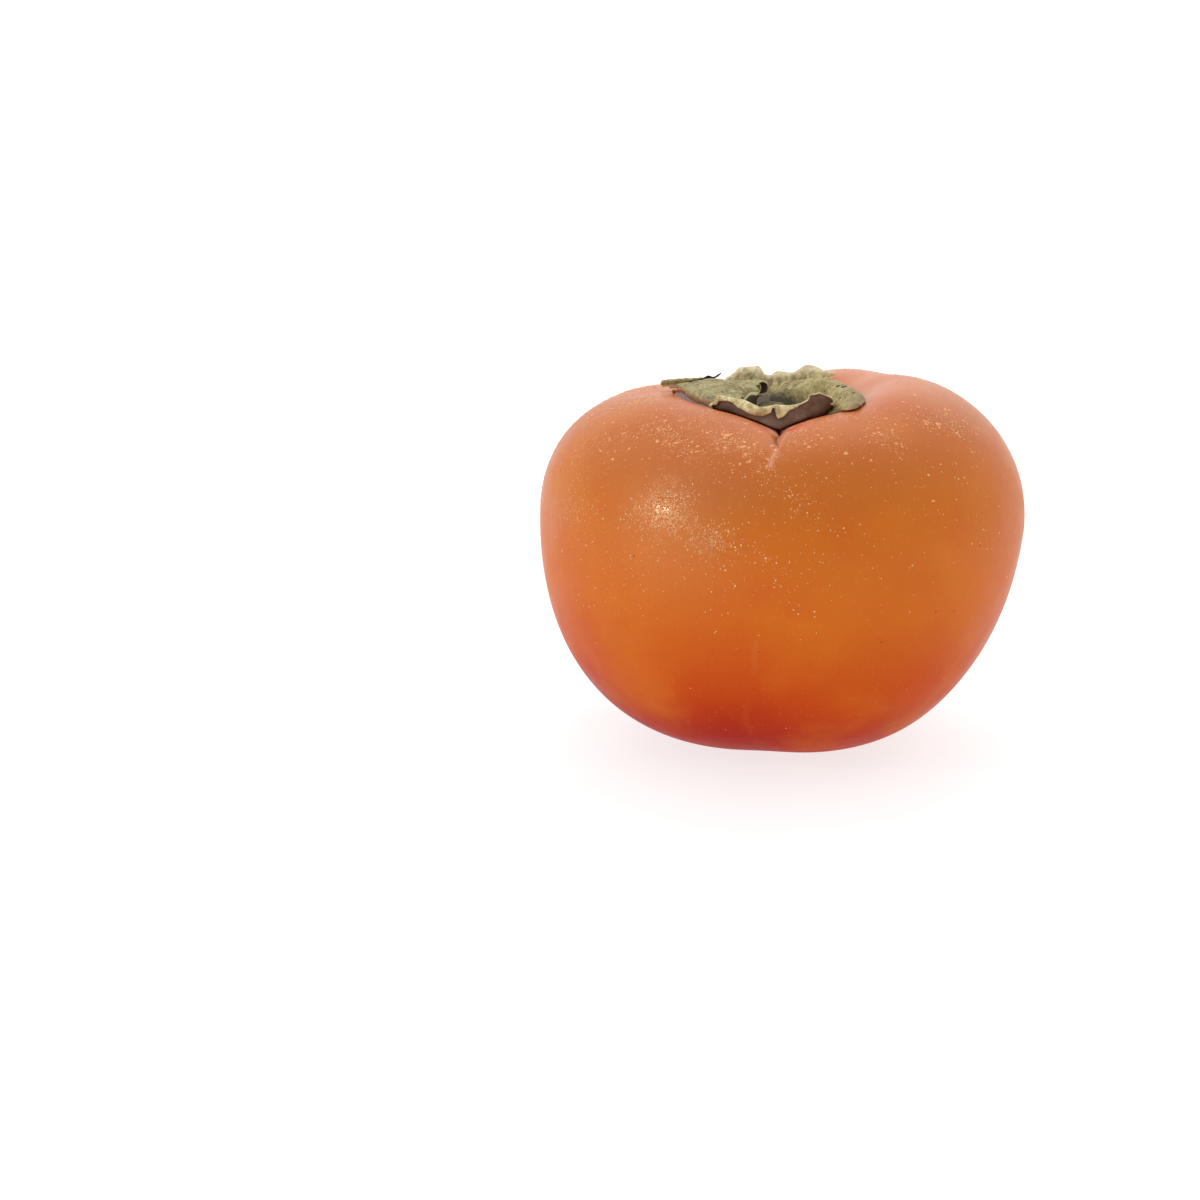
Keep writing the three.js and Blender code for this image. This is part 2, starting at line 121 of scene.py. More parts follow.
# it swells away from a point at this height, and only so far from the axis and the floor
SWELL_CENTRE, SWELL_OUT, SWELL_UP = GIRTH_HEIGHT - 8, (18, 30), (0.5, 6)
CREASE_FINE, CREASE_FINE_WIDTH = 6.0, 5.0  # how many times finer the mesh is there, within how many degrees
GROOVE_DEPTH, GROOVE_WIDTH = 0.8, 0.45  # the sharp line at the bottom of each crease
GROOVE_WANDER, GROOVE_WAVE = math.radians(1.2), 2.3
GROOVE_START, GROOVE_END = (8, 14), (25, 33)  # where it sets in and runs out, from the axis
DIMPLE_RADIUS, DIMPLE_DEPTH = 3.2, 1.1  # round the dry style tip, at the blossom end
STYLE_RADIUS, STYLE_LENGTH = 0.8, 0.8
LOBE_ALONG, LOBE_ACROSS, RIM_STEPS = 84, 76, 8
DISC_SIDES, DISC_RINGS, STUB_SIDES = 150, 36, 72
DISC_GAP, DISC_LEAST = 0.35, 0.9  # over the skin, and its least thickness
STUB_RAISED, STUB_SUNK, STUB_SLOPE = 0.1, 0.05, 0.15
LOBE_LENGTH, LOBE_WIDTH, LOBE_APART = 14, 11, 9.7  # only to spread the bites in the margins
LOBE_BITE = 0.03
WRINKLES = ((0.15, 3.0, 20), (0.08, 1.2, 30))  # depth, size and seed
FRILL_DEPTH, FRILL_REACH, FRILL_SIZE = 0.35, 1.6, 2.0  # waves of the margin
CRUST_DEPTH, CRUST_REACH, CRUST_SIZE = 0.07, 1.5, 0.9  # fine relief of the margin
BLADE_THICK, BLADE_THIN, BLADE_TAPER = 0.5, 0.24, 2.0  # in the middle, at the margin, and how far between
RIM_PLACE = 1.1  # where the side rims end, counted from -1 to 1 across the blade
LOBE_CLEARANCE, RIM_CLEARANCE = 0.12, 0.1
HOLES = (((12.3, -4.8, 5.4), 0.8), ((13.5, -10, 5.4), 0.7), ((11.4, -3.6, 5.4), 0.5))  # middle and size
# the heights where the bowl's painted shade gives way to light on the front, right and back lobes, more at
# the left
BOWL_EDGES, BOWL_LEAN = ((1.9, 3.3), (1.3, 3.0), (2.7, 3.9)), 0.14
BOWL_REACH = (8.5, 10.5)  # distance from the middle at which it ends
ARCH_AT = 0.218  # along the left lobe, the pale edge that arches over the bowl
ARCH_FADE = (0.03, 0.012)  # how far before it the bowl's dark ends

# ---- How far each lobe's margin rolls over, in millimetres: (place along the margin, width rolled) ----
FRONT, RIGHT, BACK, LEFT = range(4)
LOBES = (
    # control rows, whether they run clockwise, raggedness, bend radius, most that the rim turns in radians,
    # and then the rim's widths at the tip and on the two sides
    (FRONT_LOBE, False, 0.6, 0.35, 3.0,
     ((-1.1, 0.1), (-1, 1.0), (-0.9, 1.5), (-0.76, 1.8), (-0.6, 2.4), (-0.36, 2.2), (-0.25, 1.6),
      (-0.215, 0.5), (-0.17, 3.0), (-0.09, 2.5), (-0.01, 1.4), (0.09, 0.8), (0.2, 0.5), (1, 0.4), (1.1, 0.1)),
     ((0, 0), (0.3, 0.1), (0.5, 1.3), (1, 1.5)),
     ((0, 0), (0.35, 0.1), (0.55, 1.2), (1, 1.3))),
    (RIGHT_LOBE, False, 0.15, 0.9, 1.7,
     ((-1.1, 1.6), (0, 2.2), (1.1, 1.4)),
     ((0, 0), (0.4, 0.7), (1, 2.0)),
     ((0, 0), (0.4, 0.3), (1, 0.8))),
    (BACK_LOBE, True, 0.7, 0.35, 2.6,
     ((-1.1, 0.3), (-0.6, 0.9), (-0.2, 0.4), (0.1, 0.5), (0.5, 1.0), (1.1, 0.3)),
     ((0, 0), (0.4, 0.3), (1, 0.5)),
     ((0, 0), (0.4, 0.3), (1, 0.5))),
    (LEFT_LOBE, True, 0.5, 0.5, 1.6,
     ((-1.1, 0.2), (-0.8, 0.3), (-0.4, 0.9), (0.2, 1.3), (0.8, 1.8), (1.1, 1.2)),
     ((0, 0), (0.5, 0.3), (1, 0.4)),
     ((0, 0), (0.3, 0.3), (0.6, 1.6), (1, 2.0))),
)
# each lobe's tone, partly its own colour and partly painted shade
LOBE_TONES_AND_SHADE = ((1.0, 0.96, 0.86), (0.78, 0.71, 0.58), (1.0, 1.0, 0.95), (0.66, 0.62, 0.52))
VEIN_STRETCH = (("across", 0.011), ("along", 0.003), ("lobe", 0.02))  # metres of noise for each unit
# Narrow dried slivers on the left lobe: the path of the middle, half width, lean, raggedness and char
SLIVERS = (
    # the curled strip at the lobe's far tip, standing on edge
    (((-19.3, 5.7, 3.75), (-17.2, 5.8, 3.9), (-15, 5.9, 4.05), (-13, 6, 4.15), (-11, 6.2, 4.1)),
     0.62, (0, -0.25, 0.95), 0.1, 0.0),
    # a black fold along the lobe's top, with a free tip
    (((-14.9, 2.6, 4.2), (-13.6, 3.6, 4.6), (-12.2, 4.6, 4.7), (-10.9, 4.8, 5.1), (-10, 4.7, 5.0),
      (-9.3, 4.6, 5.4), (-8.7, 4.4, 5.9)), 0.22, (0.1, -0.6, 0.8), 0.5, 1.0),
    # a brown flake on the skin at the lobe's foot
    (((-17.3, 1.8, 3.1), (-16.4, 0.8, 3.6), (-15.6, -0.9, 4), (-14.7, -2.9, 4.1), (-13.8, -4.7, 4)),
     0.4, (-0.2, -0.6, 0.7), 0.3, 0.5),
)

# ---- Marks on the skin ----
FLUSH_RADIUS = 24  # round the calyx
SUTURE_AT, SUTURE_LEAN, SUTURE_WANDER = -96.5, 0.1, 1.5  # a faint line down the front, in degrees
SUTURE_WIDTH = 0.5
# painted sheen over the wax: the skin paler and pinker beside and behind the calyx
SHEEN_BLOOM_FRONT, SHEEN_BLOOM_SLANT, SHEEN_BLOOM_OUTER = (-11, 0), 0.3, (24, 40)  # the pale skin beside and behind the calyx
SCAR = ((29.3, 8.5), (2.6, 1.6), 0.4)  # middle, half axes, turn
TIP_FADE = (0.5, 1.4)  # distance from the axis at which the style's dry brown ends
FRUIT_TOP, GLOSS_TOP = 64.0, 50.0  # the heights where the skin's colour and its gloss stop changing
# what each mark follows, the range in which it sets in, how far it covers the skin, and its colour
SKIN_MARKS = (
    ("flush", None, 0.5, (0.60, 0.14, 0.055)),
    # painted highlight: the crease's sides paler and pinker
    ("crease", (0.4, 0.7), 0.6, (0.80, 0.40, 0.30)),
    # painted shade: a dark line at the bottom of the groove
    ("line", (0.3, 0.8), 0.75, (0.26, 0.026, 0.011)),
    # painted highlight: a pale pink line along the crease's lip
    ("lip", None, 0.45, (0.90, 0.52, 0.40)),
    ("suture", None, 0.2, (0.66, 0.2, 0.05)),
    # painted sheen over the wax, paler and pinker beside and behind the calyx
    ("sheen_bloom", None, 0.45, (0.72, 0.32, 0.20)),
    ("wet", None, 1.0, (0.66, 0.065, 0.002)),
    ("scar", None, 0.7, (0.62, 0.33, 0.15)),
)
# from the blossom end to the top: redder at the blossom end, and darker there with painted shade
SKIN_RAMP = (
    (0.0, (0.36, 0.010, 0.001)),
    (0.18, (0.52, 0.056, 0.003)),
    (0.5, (0.61, 0.125, 0.007)),
    (0.85, (0.58, 0.142, 0.010)),
    (1.0, (0.51, 0.130, 0.020)),
)

# ---- Dew ----
DEW_SEED = 7
# how many, smallest and largest radius, height as a share of the radius, and how far from 0 to 1 the drops
# keep to the shoulders
DEW_KINDS = (
    (4500, 0.08, 0.15, 0.45, 0.0),
    (800, 0.13, 0.24, 0.4, 0.1),
    (420, 0.2, 0.46, 0.16, 1.0),
)
DEW_SIDES, DEW_RINGS = 8, 2
DEW_SKEW = 1.6  # above 1, so that small drops are more common than large ones
DEW_LEFT, DEW_UPPER = (-16, 26), (26, 50)  # it thins out from left to right and thickens going up
DEW_SHOULDER = (27, 6, 1.4)  # a ring round the calyx: distance from the axis, spread and strength
KEY_SIDE = np.array((-0.75, -0.43, 0.5))  # towards the key light
DEW_SINK = 0.12  # how far a drop's rim goes into the skin, as a share of its radius
# where the dew lies thickest: the middle, the reach and the strength
DEW_CLUSTERS = (
    ((-20.7, -33.9, 49.6), 3.5, 30.0),
    ((-14.1, -37.9, 45.5), 2.4, 13.0),
    ((-14.7, -22.7, 61.3), 3.5, 2.5),
    ((7.5, -20.5, 61.8), 2.2, 2.5),
)
GLITTERING = 2  # how many of the clusters, from the first, glitter
MIST_FULL = 3  # the density of dew at which the skin is misted all over
# painted glint: how bright the flat drops on the shoulders are painted all over
DEW_PALE = 0.3  # how bright the flat drops on the shoulders are all over
DEW_VEIL = 0.85  # how far a drop covers the skin under it
GLEAM_AT, GLEAM_REACH = (-19.5, -35.0, 48.5), 11.0  # the wettest skin, which shines most
# LIP_PATH is where a highlight is painted along the crease's lip
LIP_PATH = ((1.2, -20.0), (0.2, -24.0), (-0.9, -27.0), (-2.0, -29.7), (-2.8, -31.6), (-3.3, -33.3))
LIP_WIDTH = 0.38
WET_POCKET = ((2.3, -23.0), (3.6, 2.2), math.radians(-12))  # beside the crease: middle, half axes, turn

# ---- Camera, floor and lights ----
CAMERA_TILT = math.radians(17)
CAMERA_DISTANCE, CAMERA_LEFT, CAMERA_DROP = 591.15, 31.47, 6.14
CAMERA_AIM_HEIGHT = 30.0
CAMERA_LENS = 100
CAMERA_CLIP = (0.01, 50)  # metres
FLOOR_HALF, FLOOR_LEVEL = 6.0, -0.0003  # metres, as are the lights
# place, target, diameter and watts
KEY_LIGHT = ((-0.58, -0.33, 0.34), (0, 0, 0.04), 0.06, 0.6)
TOP_LIGHT = ((0.05, 0.3, 0.7), (0, 0, 0.05), 0.5, 1.1)


def wrap_angle(a):
    return (a + math.pi) % (2 * math.pi) - math.pi


def smoothstep(low, high, value):
    t = np.clip((value - low) / (high - low), 0, 1)
    return t * t * (3 - 2 * t)


def ripple(points, size, seed):
    """Smooth noise of about -1 to 1 at points of shape (..., 3), with lumps of about size."""
    rng = np.random.default_rng(seed)
    total = 0
    for _ in range(RIPPLE_WAVES):
        direction = rng.normal(size=3)
        direction *= math.pi / size * rng.uniform(0.6, 1.4) / norm(direction)
        total = total + np.sin(points @ direction + rng.uniform(0, 2 * math.pi))
    return total / math.sqrt(RIPPLE_WAVES)


def norm(v):
    return np.linalg.norm(v, axis=-1)


def unit(v):
    return v / np.maximum(norm(v)[..., None], 1e-9)


# ---- The fruit's surface ----

def hollow(azimuth, kind):
    total = 0
    for row in HOLLOWS:
        off = wrap_angle(azimuth - math.radians(row[0])) / math.radians(row[1])
        total = total + row[kind] * np.exp(-off * off)
    return total


def crease_depth(distance, azimuth):
    span = np.where(distance < CREASE_DEEPEST, CREASE_INNER, CREASE_OUTER)
    fade = np.exp(-(((distance - CREASE_DEEPEST) / span) ** 2))
    taper = 1 - TAPER_SHARE * smoothstep(TAPER_FROM, TAPER_TO, distance)
    total = 0
    for at, depth, width in CREASES:
        off = np.abs(wrap_angle(azimuth - math.radians(at)))
        total = total + (off < math.pi / 2) * depth * fade * np.exp(-off * distance / (width * taper))
    return total


def crown_height(x, y):
    distance = np.hypot(x, y)
    azimuth = np.arctan2(y, x)
    share = np.minimum(distance / (GIRTH_RADIUS - hollow(azimuth, GIRTH)), 1)
    dome = CROWN_RISE * (1 - share ** CROWN_SIDE) ** (1 / CROWN_TOP)
    bowl = CAVITY_DEPTH * np.exp(-((distance / CAVITY_RADIUS) ** 2))
    dip = hollow(azimuth, SHOULDER) * np.exp(-(((share - SHOULDER_AT) / SHOULDER_SPREAD) ** 2))
    return GIRTH_HEIGHT + dome - bowl - dip - crease_depth(distance, azimuth)


def belly_radius(down, azimuth):
    profile = (1 - down ** BELLY_BOTTOM) ** (1 / BELLY_SIDE)
    return profile * (GIRTH_RADIUS - hollow(azimuth, GIRTH) * (1 - down) - hollow(azimuth, FLANK) * down)


# ---- Meshes ----

def grid_faces(rows, columns, closed):
    across = np.arange(columns if closed else columns - 1)
    r, c = np.meshgrid(np.arange(rows - 1), across, indexing="ij")
    n = (c + 1) % columns
    corners = (r * columns + c, (r + 1) * columns + c, (r + 1) * columns + n, r * columns + n)
    return np.stack(corners, -1).reshape(-1, 4)


def capped_rings(top, rings, bottom):
    """Points and faces of closed rings, listed from a top point down to a bottom point."""
    rows, sides = rings.shape[:2]
    points = np.concatenate(([top], rings.reshape(-1, 3), [bottom]))
    faces = (grid_faces(rows, sides, True) + 1).tolist()
    last = 1 + (rows - 1) * sides
    for side in range(sides):
        after = (side + 1) % sides
        faces.append((0, 1 + side, 1 + after))
        faces.append((last + side, len(points) - 1, last + after))
    return points, faces


def sheet_grid(rows, columns, down, over):
    """Two numbers over a grid: one that runs along its rows and one that runs across them."""
    along = np.linspace(*down, rows)[:, None] + np.zeros((1, columns))
    across = np.linspace(*over, columns)[None, :] + np.zeros((rows, 1))
    return along, across


def joined(parts):
    """One mesh from several, each with its points, faces and numbers."""
    points, faces, facts = [], [], {}
    start = 0
    for part_points, part_faces, part_facts in parts:
        points.append(part_points)
        faces += [tuple(i + start for i in face) for face in part_faces]
        for label, values in part_facts.items():
            facts.setdefault(label, []).append(values)
        start += len(part_points)
    return np.concatenate(points), faces, {label: np.concatenate(values) for label, values in facts.items()}


def add_object(name, data):
    made = bpy.data.objects.new(name, data)
    bpy.context.scene.collection.objects.link(made)
    return made


def mesh_object(name, points, faces, facts):
    """A smooth mesh from points in millimetres, with named numbers on its points."""
    mesh = bpy.data.meshes.new(name)
    mesh.from_pydata((points * MM).tolist(), [], faces)
    mesh.shade_smooth()
    for label, values in facts.items():
        layer = mesh.attributes.new(label, "FLOAT", "POINT")
        layer.data.foreach_set("value", np.asarray(values, dtype=np.float32).ravel())
    return add_object(name, mesh)


def mesh_azimuths():
    """Azimuths round the fruit, closer together at its creases."""
    fine = np.linspace(-math.pi, math.pi, 7201)
    density = np.ones_like(fine)
    for at, _, _ in CREASES:
        off = wrap_angle(fine - math.radians(at)) / math.radians(CREASE_FINE_WIDTH)
        density += CREASE_FINE * np.exp(-off * off)
    run = np.cumsum(density) - density[0]
    return np.interp(np.arange(FRUIT_SIDES) / FRUIT_SIDES * run[-1], run, fine)


def groove(x, y):
    """How deep the sharp line lies, from 0 to 1, at the bottom of the creases."""
    distance = np.hypot(x, y)
    azimuth = np.arctan2(y, x)
    total = 0
    for at, _, _ in CREASES:
        bend = GROOVE_WANDER * np.sin(distance / GROOVE_WAVE)
        off = np.abs(wrap_angle(azimuth - math.radians(at) - bend)) * distance
        total = total + np.exp(-off / GROOVE_WIDTH)
    return total * smoothstep(*GROOVE_START, distance) * (1 - smoothstep(*GROOVE_END, distance))


def flat_rings(edge):
    """Rings inwards from the flat spot's edge, with the dimple and the dry style tip at the middle."""
    flat = edge * np.linspace(1, 0, FLAT_RINGS + 1)[1:-1, None, None]
    from_axis = np.hypot(flat[..., 0], flat[..., 1])
    dimple = DIMPLE_DEPTH * np.maximum(1 - (from_axis / DIMPLE_RADIUS) ** 2, 0) ** 2
    style = STYLE_LENGTH * np.maximum(1 - from_axis / STYLE_RADIUS, 0)
    flat[..., 2] = dimple - style
    return flat


def swollen(rings):
    """The rings, a little uneven except under the calyx and on the flat spot."""
    from_axis = np.hypot(rings[..., 0], rings[..., 1])
    free = smoothstep(*SWELL_OUT, from_axis) * smoothstep(*SWELL_UP, rings[..., 2])
    swell = SKIN_SWELL * free * ripple(rings, SKIN_SWELL_SIZE, 5)
    return rings + unit(rings - (0, 0, SWELL_CENTRE)) * swell[..., None]


def fruit_mesh():
    azimuth = mesh_azimuths()[None, :]
    share = np.sin(np.linspace(0, math.pi / 2, CROWN_RINGS + 1))[1:, None]
    distance = share * (GIRTH_RADIUS - hollow(azimuth, GIRTH))
    x, y = distance * np.cos(azimuth), distance * np.sin(azimuth)
    crown = np.stack((x, y, crown_height(x, y) - GROOVE_DEPTH * groove(x, y)), -1)
    flat_at = GIRTH_HEIGHT / BELLY_DROP
    down = flat_at * np.sin(np.linspace(0, math.pi / 2, BELLY_RINGS + 1))[1:, None]
    distance = belly_radius(down, azimuth)
    height = np.maximum(GIRTH_HEIGHT - BELLY_DROP * down, 0) + 0 * azimuth
    belly = np.stack((distance * np.cos(azimuth), distance * np.sin(azimuth), height), -1)
    rings = swollen(np.concatenate((crown, belly, flat_rings(belly[-1:]))))
    top = (0, 0, float(crown_height(0.0, 0.0)))
    return capped_rings(top, rings, (0, 0, DIMPLE_DEPTH - STYLE_LENGTH))


def spot(points, centre, size, turn=0.0):
    """1 at a centre and 0 beyond an ellipse of half axes size, turned by an angle, seen from above."""
    dx, dy = (points[:, :2] - centre).T
    along = dx * math.cos(turn) + dy * math.sin(turn)
    side = dy * math.cos(turn) - dx * math.sin(turn)
    return 1 - smoothstep(0.55, 1.0, np.hypot(along / size[0], side / size[1]))


def beside(points, path, width):
    """1 on a line through path, seen from above, and less within about width of it."""
    path = np.array(path)
    nearest = np.inf
    for a, b in zip(path, path[1:]):
        share = np.clip((points[:, :2] - a) @ (b - a) / ((b - a) @ (b - a)), 0, 1)
        nearest = np.minimum(nearest, norm(points[:, :2] - a - share[:, None] * (b - a)))
    return np.exp(-((nearest / width) ** 2))


def skin_facts(points):
    """The numbers that the skin's colour and gloss follow, at each point."""
    x, y, z = points.T
    distance = np.hypot(x, y)
    azimuth = np.arctan2(y, x)
    upper = z > GIRTH_HEIGHT
    crease = upper * crease_depth(distance, azimuth) / CREASES[0][1]
    flush = upper * np.exp(-((distance / FLUSH_RADIUS) ** 4))
    seam = SUTURE_AT - SUTURE_LEAN * (GIRTH_HEIGHT - z) + SUTURE_WANDER * ripple(points, 7.0, 31)
    off = np.abs(wrap_angle(azimuth - np.radians(seam))) * distance
    suture = np.exp(-((off / SUTURE_WIDTH) ** 2)) * (y < 0) * np.clip(ripple(points, 6.0, 32), 0, 1)
    wet = upper * np.clip(spot(points, *WET_POCKET) * (0.75 + 0.4 * ripple(points, 1.5, 34)), 0, 1)
    mist = np.clip(dew_density(points, 0.0) / MIST_FULL, 0, 1)
    # painted sheen over the wax, beside and behind the calyx
    sheen_bloom = upper * smoothstep(*SHEEN_BLOOM_FRONT, y + SHEEN_BLOOM_SLANT * x) * (1 - smoothstep(*SHEEN_BLOOM_OUTER, distance))
    gleam = np.exp(-np.sum(((points - GLEAM_AT) / GLEAM_REACH) ** 2, axis=1))
    glitter = 0
    for middle, reach, _ in DEW_CLUSTERS[:GLITTERING]:
        glitter = glitter + np.exp(-np.sum(((points - middle) / reach) ** 2, axis=1) ** 2)
    scar = upper * spot(points, *SCAR)
    tip = (z < GIRTH_HEIGHT) * (1 - smoothstep(*TIP_FADE, distance))
    line = upper * groove(x, y)
    # a painted highlight along the crease's lip
    lip = upper * beside(points, LIP_PATH, LIP_WIDTH) * (0.65 + 0.35 * ripple(points, 2.0, 33))
    return dict(
        line=line, lip=np.clip(lip, 0, 1), crease=crease, flush=flush, suture=suture, wet=wet, mist=mist,
        sheen_bloom=sheen_bloom, gleam=gleam, glitter=glitter, scar=scar, tip=tip,
    )


# ---- The calyx's sheets ----

def catmull_rom(share, count):
    """Weights of count points for each share from 0 to 1 along a Catmull-Rom curve."""
    place = np.clip(share, 0, 1) * (count - 1)
    low = np.minimum(place.astype(int), count - 2)
    t = place - low
    blends = (
        -0.5 * t + t ** 2 - 0.5 * t ** 3,
        1 - 2.5 * t ** 2 + 1.5 * t ** 3,
        0.5 * t + 2 * t ** 2 - 1.5 * t ** 3,
        -0.5 * t ** 2 + 0.5 * t ** 3,
    )
    weights = np.zeros((share.size, count))
    row = np.arange(share.size)
    for step, blend in zip((-1, 0, 1, 2), blends):
        index = low + step
        before, after = index < 0, index > count - 1
        inside = ~(before | after)
        weights[row[inside], index[inside]] += blend[inside]
        for beyond, end, inner in ((before, 0, 1), (after, count - 1, count - 2)):
            weights[row[beyond], end] += 2 * blend[beyond]
            weights[row[beyond], inner] -= blend[beyond]
    return weights


def rooted(control):
    """The control rows, with one more row before them that is sunk into the disc."""
    rows = np.array(control, float)
    first = rows[0]
    scale = ROOT_DISTANCE / np.hypot(first[:, 0], first[:, 1])
    root = np.stack((first[:, 0] * scale, first[:, 1] * scale, np.full(len(first), -ROOT_SUNK)), -1)
    return np.concatenate((root[None], rows))


def sheet_normals(p):
    return unit(np.cross(np.gradient(p, axis=0), np.gradient(p, axis=1)))


def rolled(edge, out, normal, radius, most_turn, widths):
    """Rows that carry a sheet on past its edge, round a small bend and then straight, to the skin at most."""
    def place(run):
        turn = np.minimum(run / radius, most_turn)
        bend = radius * (np.sin(turn) * out - (1 - np.cos(turn)) * normal)
        return edge + bend + (run - radius * turn) * (np.cos(turn) * out - np.sin(turn) * normal)

    widths = widths[:, None]
    end = place(widths)
    fall = edge[:, 2:] - end[:, 2:]
    room = edge[:, 2:] - crown_height(end[:, :1], end[:, 1:2]) - RIM_CLEARANCE
    widths = widths * np.where(fall > room, np.clip(room / np.maximum(fall, 0.01), 0.1, 1), 1)
    return np.array([place(widths * step / RIM_STEPS) for step in range(1, RIM_STEPS + 1)])


def with_rims(p, bend, tip, first, last):
    """A sheet with its two sides and then its tip rolled over, towards its underside."""
    rows = np.linspace(0, 1, p.shape[0])
    n = sheet_normals(p)
    left = rolled(p[:, 0], unit(p[:, 0] - p[:, 2]), n[:, 0], *bend, np.interp(rows, *zip(*first)))
    right = rolled(p[:, -1], unit(p[:, -1] - p[:, -3]), n[:, -1], *bend, np.interp(rows, *zip(*last)))
    p = np.concatenate((left[::-1].transpose(1, 0, 2), p, right.transpose(1, 0, 2)), axis=1)
    n = sheet_normals(p)
    columns = np.linspace(-RIM_PLACE, RIM_PLACE, p.shape[1])
    ridge = rolled(p[-1], unit(p[-1] - p[-3]), n[-1], *bend, np.interp(columns, *zip(*tip)))
    return np.concatenate((p, ridge))


def margin_gap(p):
    """How far each point of a sheet is from its free margin, measured along the sheet."""
    run = np.cumsum(norm(np.diff(p, axis=1, prepend=p[:, :1])), axis=1)
    length = np.cumsum(norm(np.diff(p, axis=0, prepend=p[:1])), axis=0)
    return np.minimum(np.minimum(run, run[:, -1:] - run), length[-1:] - length)


def lift_clear(p, clearance):
    """The points, moved up where needed to keep clear of the skin."""
    floor = crown_height(p[..., 0], p[..., 1]) + clearance
    soft = 0.25
    over = np.clip((p[..., 2] - floor) / soft, -40, 40)
    p[..., 2] = floor + soft * np.log1p(np.exp(over))
    return p


def lobe_sheet(number):
    """Middle surface of a dried lobe: its points, its margin gap and its place along and across."""
    control, clockwise, ragged, *bend, tip, first, last = LOBES[number]
    rows = rooted(control)
    if clockwise:
        rows = rows[:, ::-1]
    along, across = sheet_grid(LOBE_ALONG, LOBE_ACROSS, (0, 1), (-1, 1))
    arc = np.stack((along * LOBE_LENGTH, across * LOBE_WIDTH, np.full_like(along, number * LOBE_APART)), -1)
    side_bite = LOBE_BITE * ragged * (1 + ripple(arc, 1.7, 11)) * smoothstep(0.3, 0.7, along)
    tip_bite = LOBE_BITE * ragged * (1 + ripple(arc, 1.9, 12))
    a = catmull_rom((along * (1 - tip_bite)).ravel(), rows.shape[0])
    b = catmull_rom((across * (1 - side_bite)).ravel() / 2 + 0.5, rows.shape[1])
    p = np.einsum("nr,nc,rck->nk", a, b, rows).reshape(LOBE_ALONG, LOBE_ACROSS, 3)
    margin = margin_gap(p)
    wrinkle = sum(depth * ripple(p, size, seed + number) for depth, size, seed in WRINKLES)
    frill = FRILL_DEPTH * ragged * np.exp(-margin / FRILL_REACH) * ripple(p, FRILL_SIZE, 40 + number)
    out = smoothstep(0.05, 0.35, along)
    p = p + sheet_normals(p) * ((wrinkle + frill) * out)[..., None]
    p = lift_clear(p + CALYX_CENTRE, LOBE_CLEARANCE + BLADE_THICK / 2)
    p = with_rims(p, bend, tip, first, last)
    crust = CRUST_DEPTH * ripple(p, CRUST_SIZE, 50 + number) * np.exp(-margin_gap(p) / CRUST_REACH)
    p = lift_clear(p + sheet_normals(p) * crust[..., None], RIM_CLEARANCE)
    along, across = sheet_grid(*p.shape[:2], (0, 1 + RIM_STEPS / LOBE_ALONG), (-RIM_PLACE, RIM_PLACE))
    return p, margin_gap(p), along, across


def rolled_share(along, across):
    """1 on the rolled rims of a lobe and 0 on its blade."""
    return smoothstep(1.0, 1.02, np.maximum(along, np.abs(across)))


def bowl_depth(points, along, number):
    """1 down in the bowl that the lobes stand round, where shade is painted, and 0 above it or outside it."""
    if number == LEFT:
        return 1 - smoothstep(ARCH_AT - ARCH_FADE[0], ARCH_AT - ARCH_FADE[1], along)
    x, y, z = (points - CALYX_CENTRE).T
    inside = 1 - smoothstep(*BOWL_REACH, np.hypot(x, y))
    return inside * (1 - smoothstep(*BOWL_EDGES[number], z + BOWL_LEAN * x))


def hole_share(points, number):
    """1 at the middle of the torn places on the right lobe, painted dark as the shade under the tears."""
    total = 0
    for middle, size in HOLES:
        away = norm(points - CALYX_CENTRE - middle) / size
        total = total + np.exp(-away * away)
    return total * (number == RIGHT)


def blade(p, margin, along, across, number, char=0.0):
    """A closed blade round a sheet, thinner at the margin, with the numbers that its material follows."""
    n = sheet_normals(p)
    half = (BLADE_THIN + (BLADE_THICK - BLADE_THIN) * smoothstep(0, BLADE_TAPER, margin)) / 2
    upper = p + n * half[..., None]
    lower = p - n * half[..., None]
    rows, columns = p.shape[:2]
    count = rows * columns
    top = grid_faces(rows, columns, False)
    under = top[:, ::-1] + count
    index = np.arange(count).reshape(rows, columns)
    ring = np.concatenate((index[0, :-1], index[:-1, -1], index[-1, :0:-1], index[:0:-1, 0]))
    after = np.roll(ring, -1)
    sides = np.stack((ring, after, after + count, ring + count), -1)
    points = np.concatenate((upper.reshape(-1, 3), lower.reshape(-1, 3)))
    faces = np.concatenate((top, under, sides)).tolist()
    facts = dict(margin=margin, along=along, across=across, rim=rolled_share(along, across))
    facts = {name: np.tile(values.ravel(), 2) for name, values in facts.items()}
    facts.update(deep=bowl_depth(points, facts["along"], number), hole=hole_share(points, number))
    facts.update(under=np.repeat((0.0, 1.0), count), lobe=np.full(2 * count, float(number)))
    facts.update(char=np.full(2 * count, char))
    return points, faces, facts


def roll_sheet():
    """The left lobe's small curl: a sheet wound round a line, into a loose ring."""
    start = np.array(ROLL_FROM) + CALYX_CENTRE
    line = np.array(ROLL_TO) + CALYX_CENTRE - start
    side = unit(np.cross(line, (0, 0, 1)))
    up = unit(np.cross(side, line))
    along, share = sheet_grid(ROLL_ALONG, ROLL_ROUND, (0, 1), (0, 1))
    angle = ROLL_START + ROLL_SWEEP * share
    radius = ROLL_INNER + (ROLL_OUTER - ROLL_INNER) * share
    axis = start + line * along[..., None]
    p = axis + side * (radius * np.cos(angle))[..., None] + up * (radius * np.sin(angle))[..., None]
    p = p + ROLL_UNEVEN * ripple(p, 1.2, 51)[..., None] * (p - axis)
    margin = np.minimum((1 - along) * norm(line), (1 - share) * radius * ROLL_SWEEP)
    return p, margin, 0.5 + 0 * along, 2 * share - 1


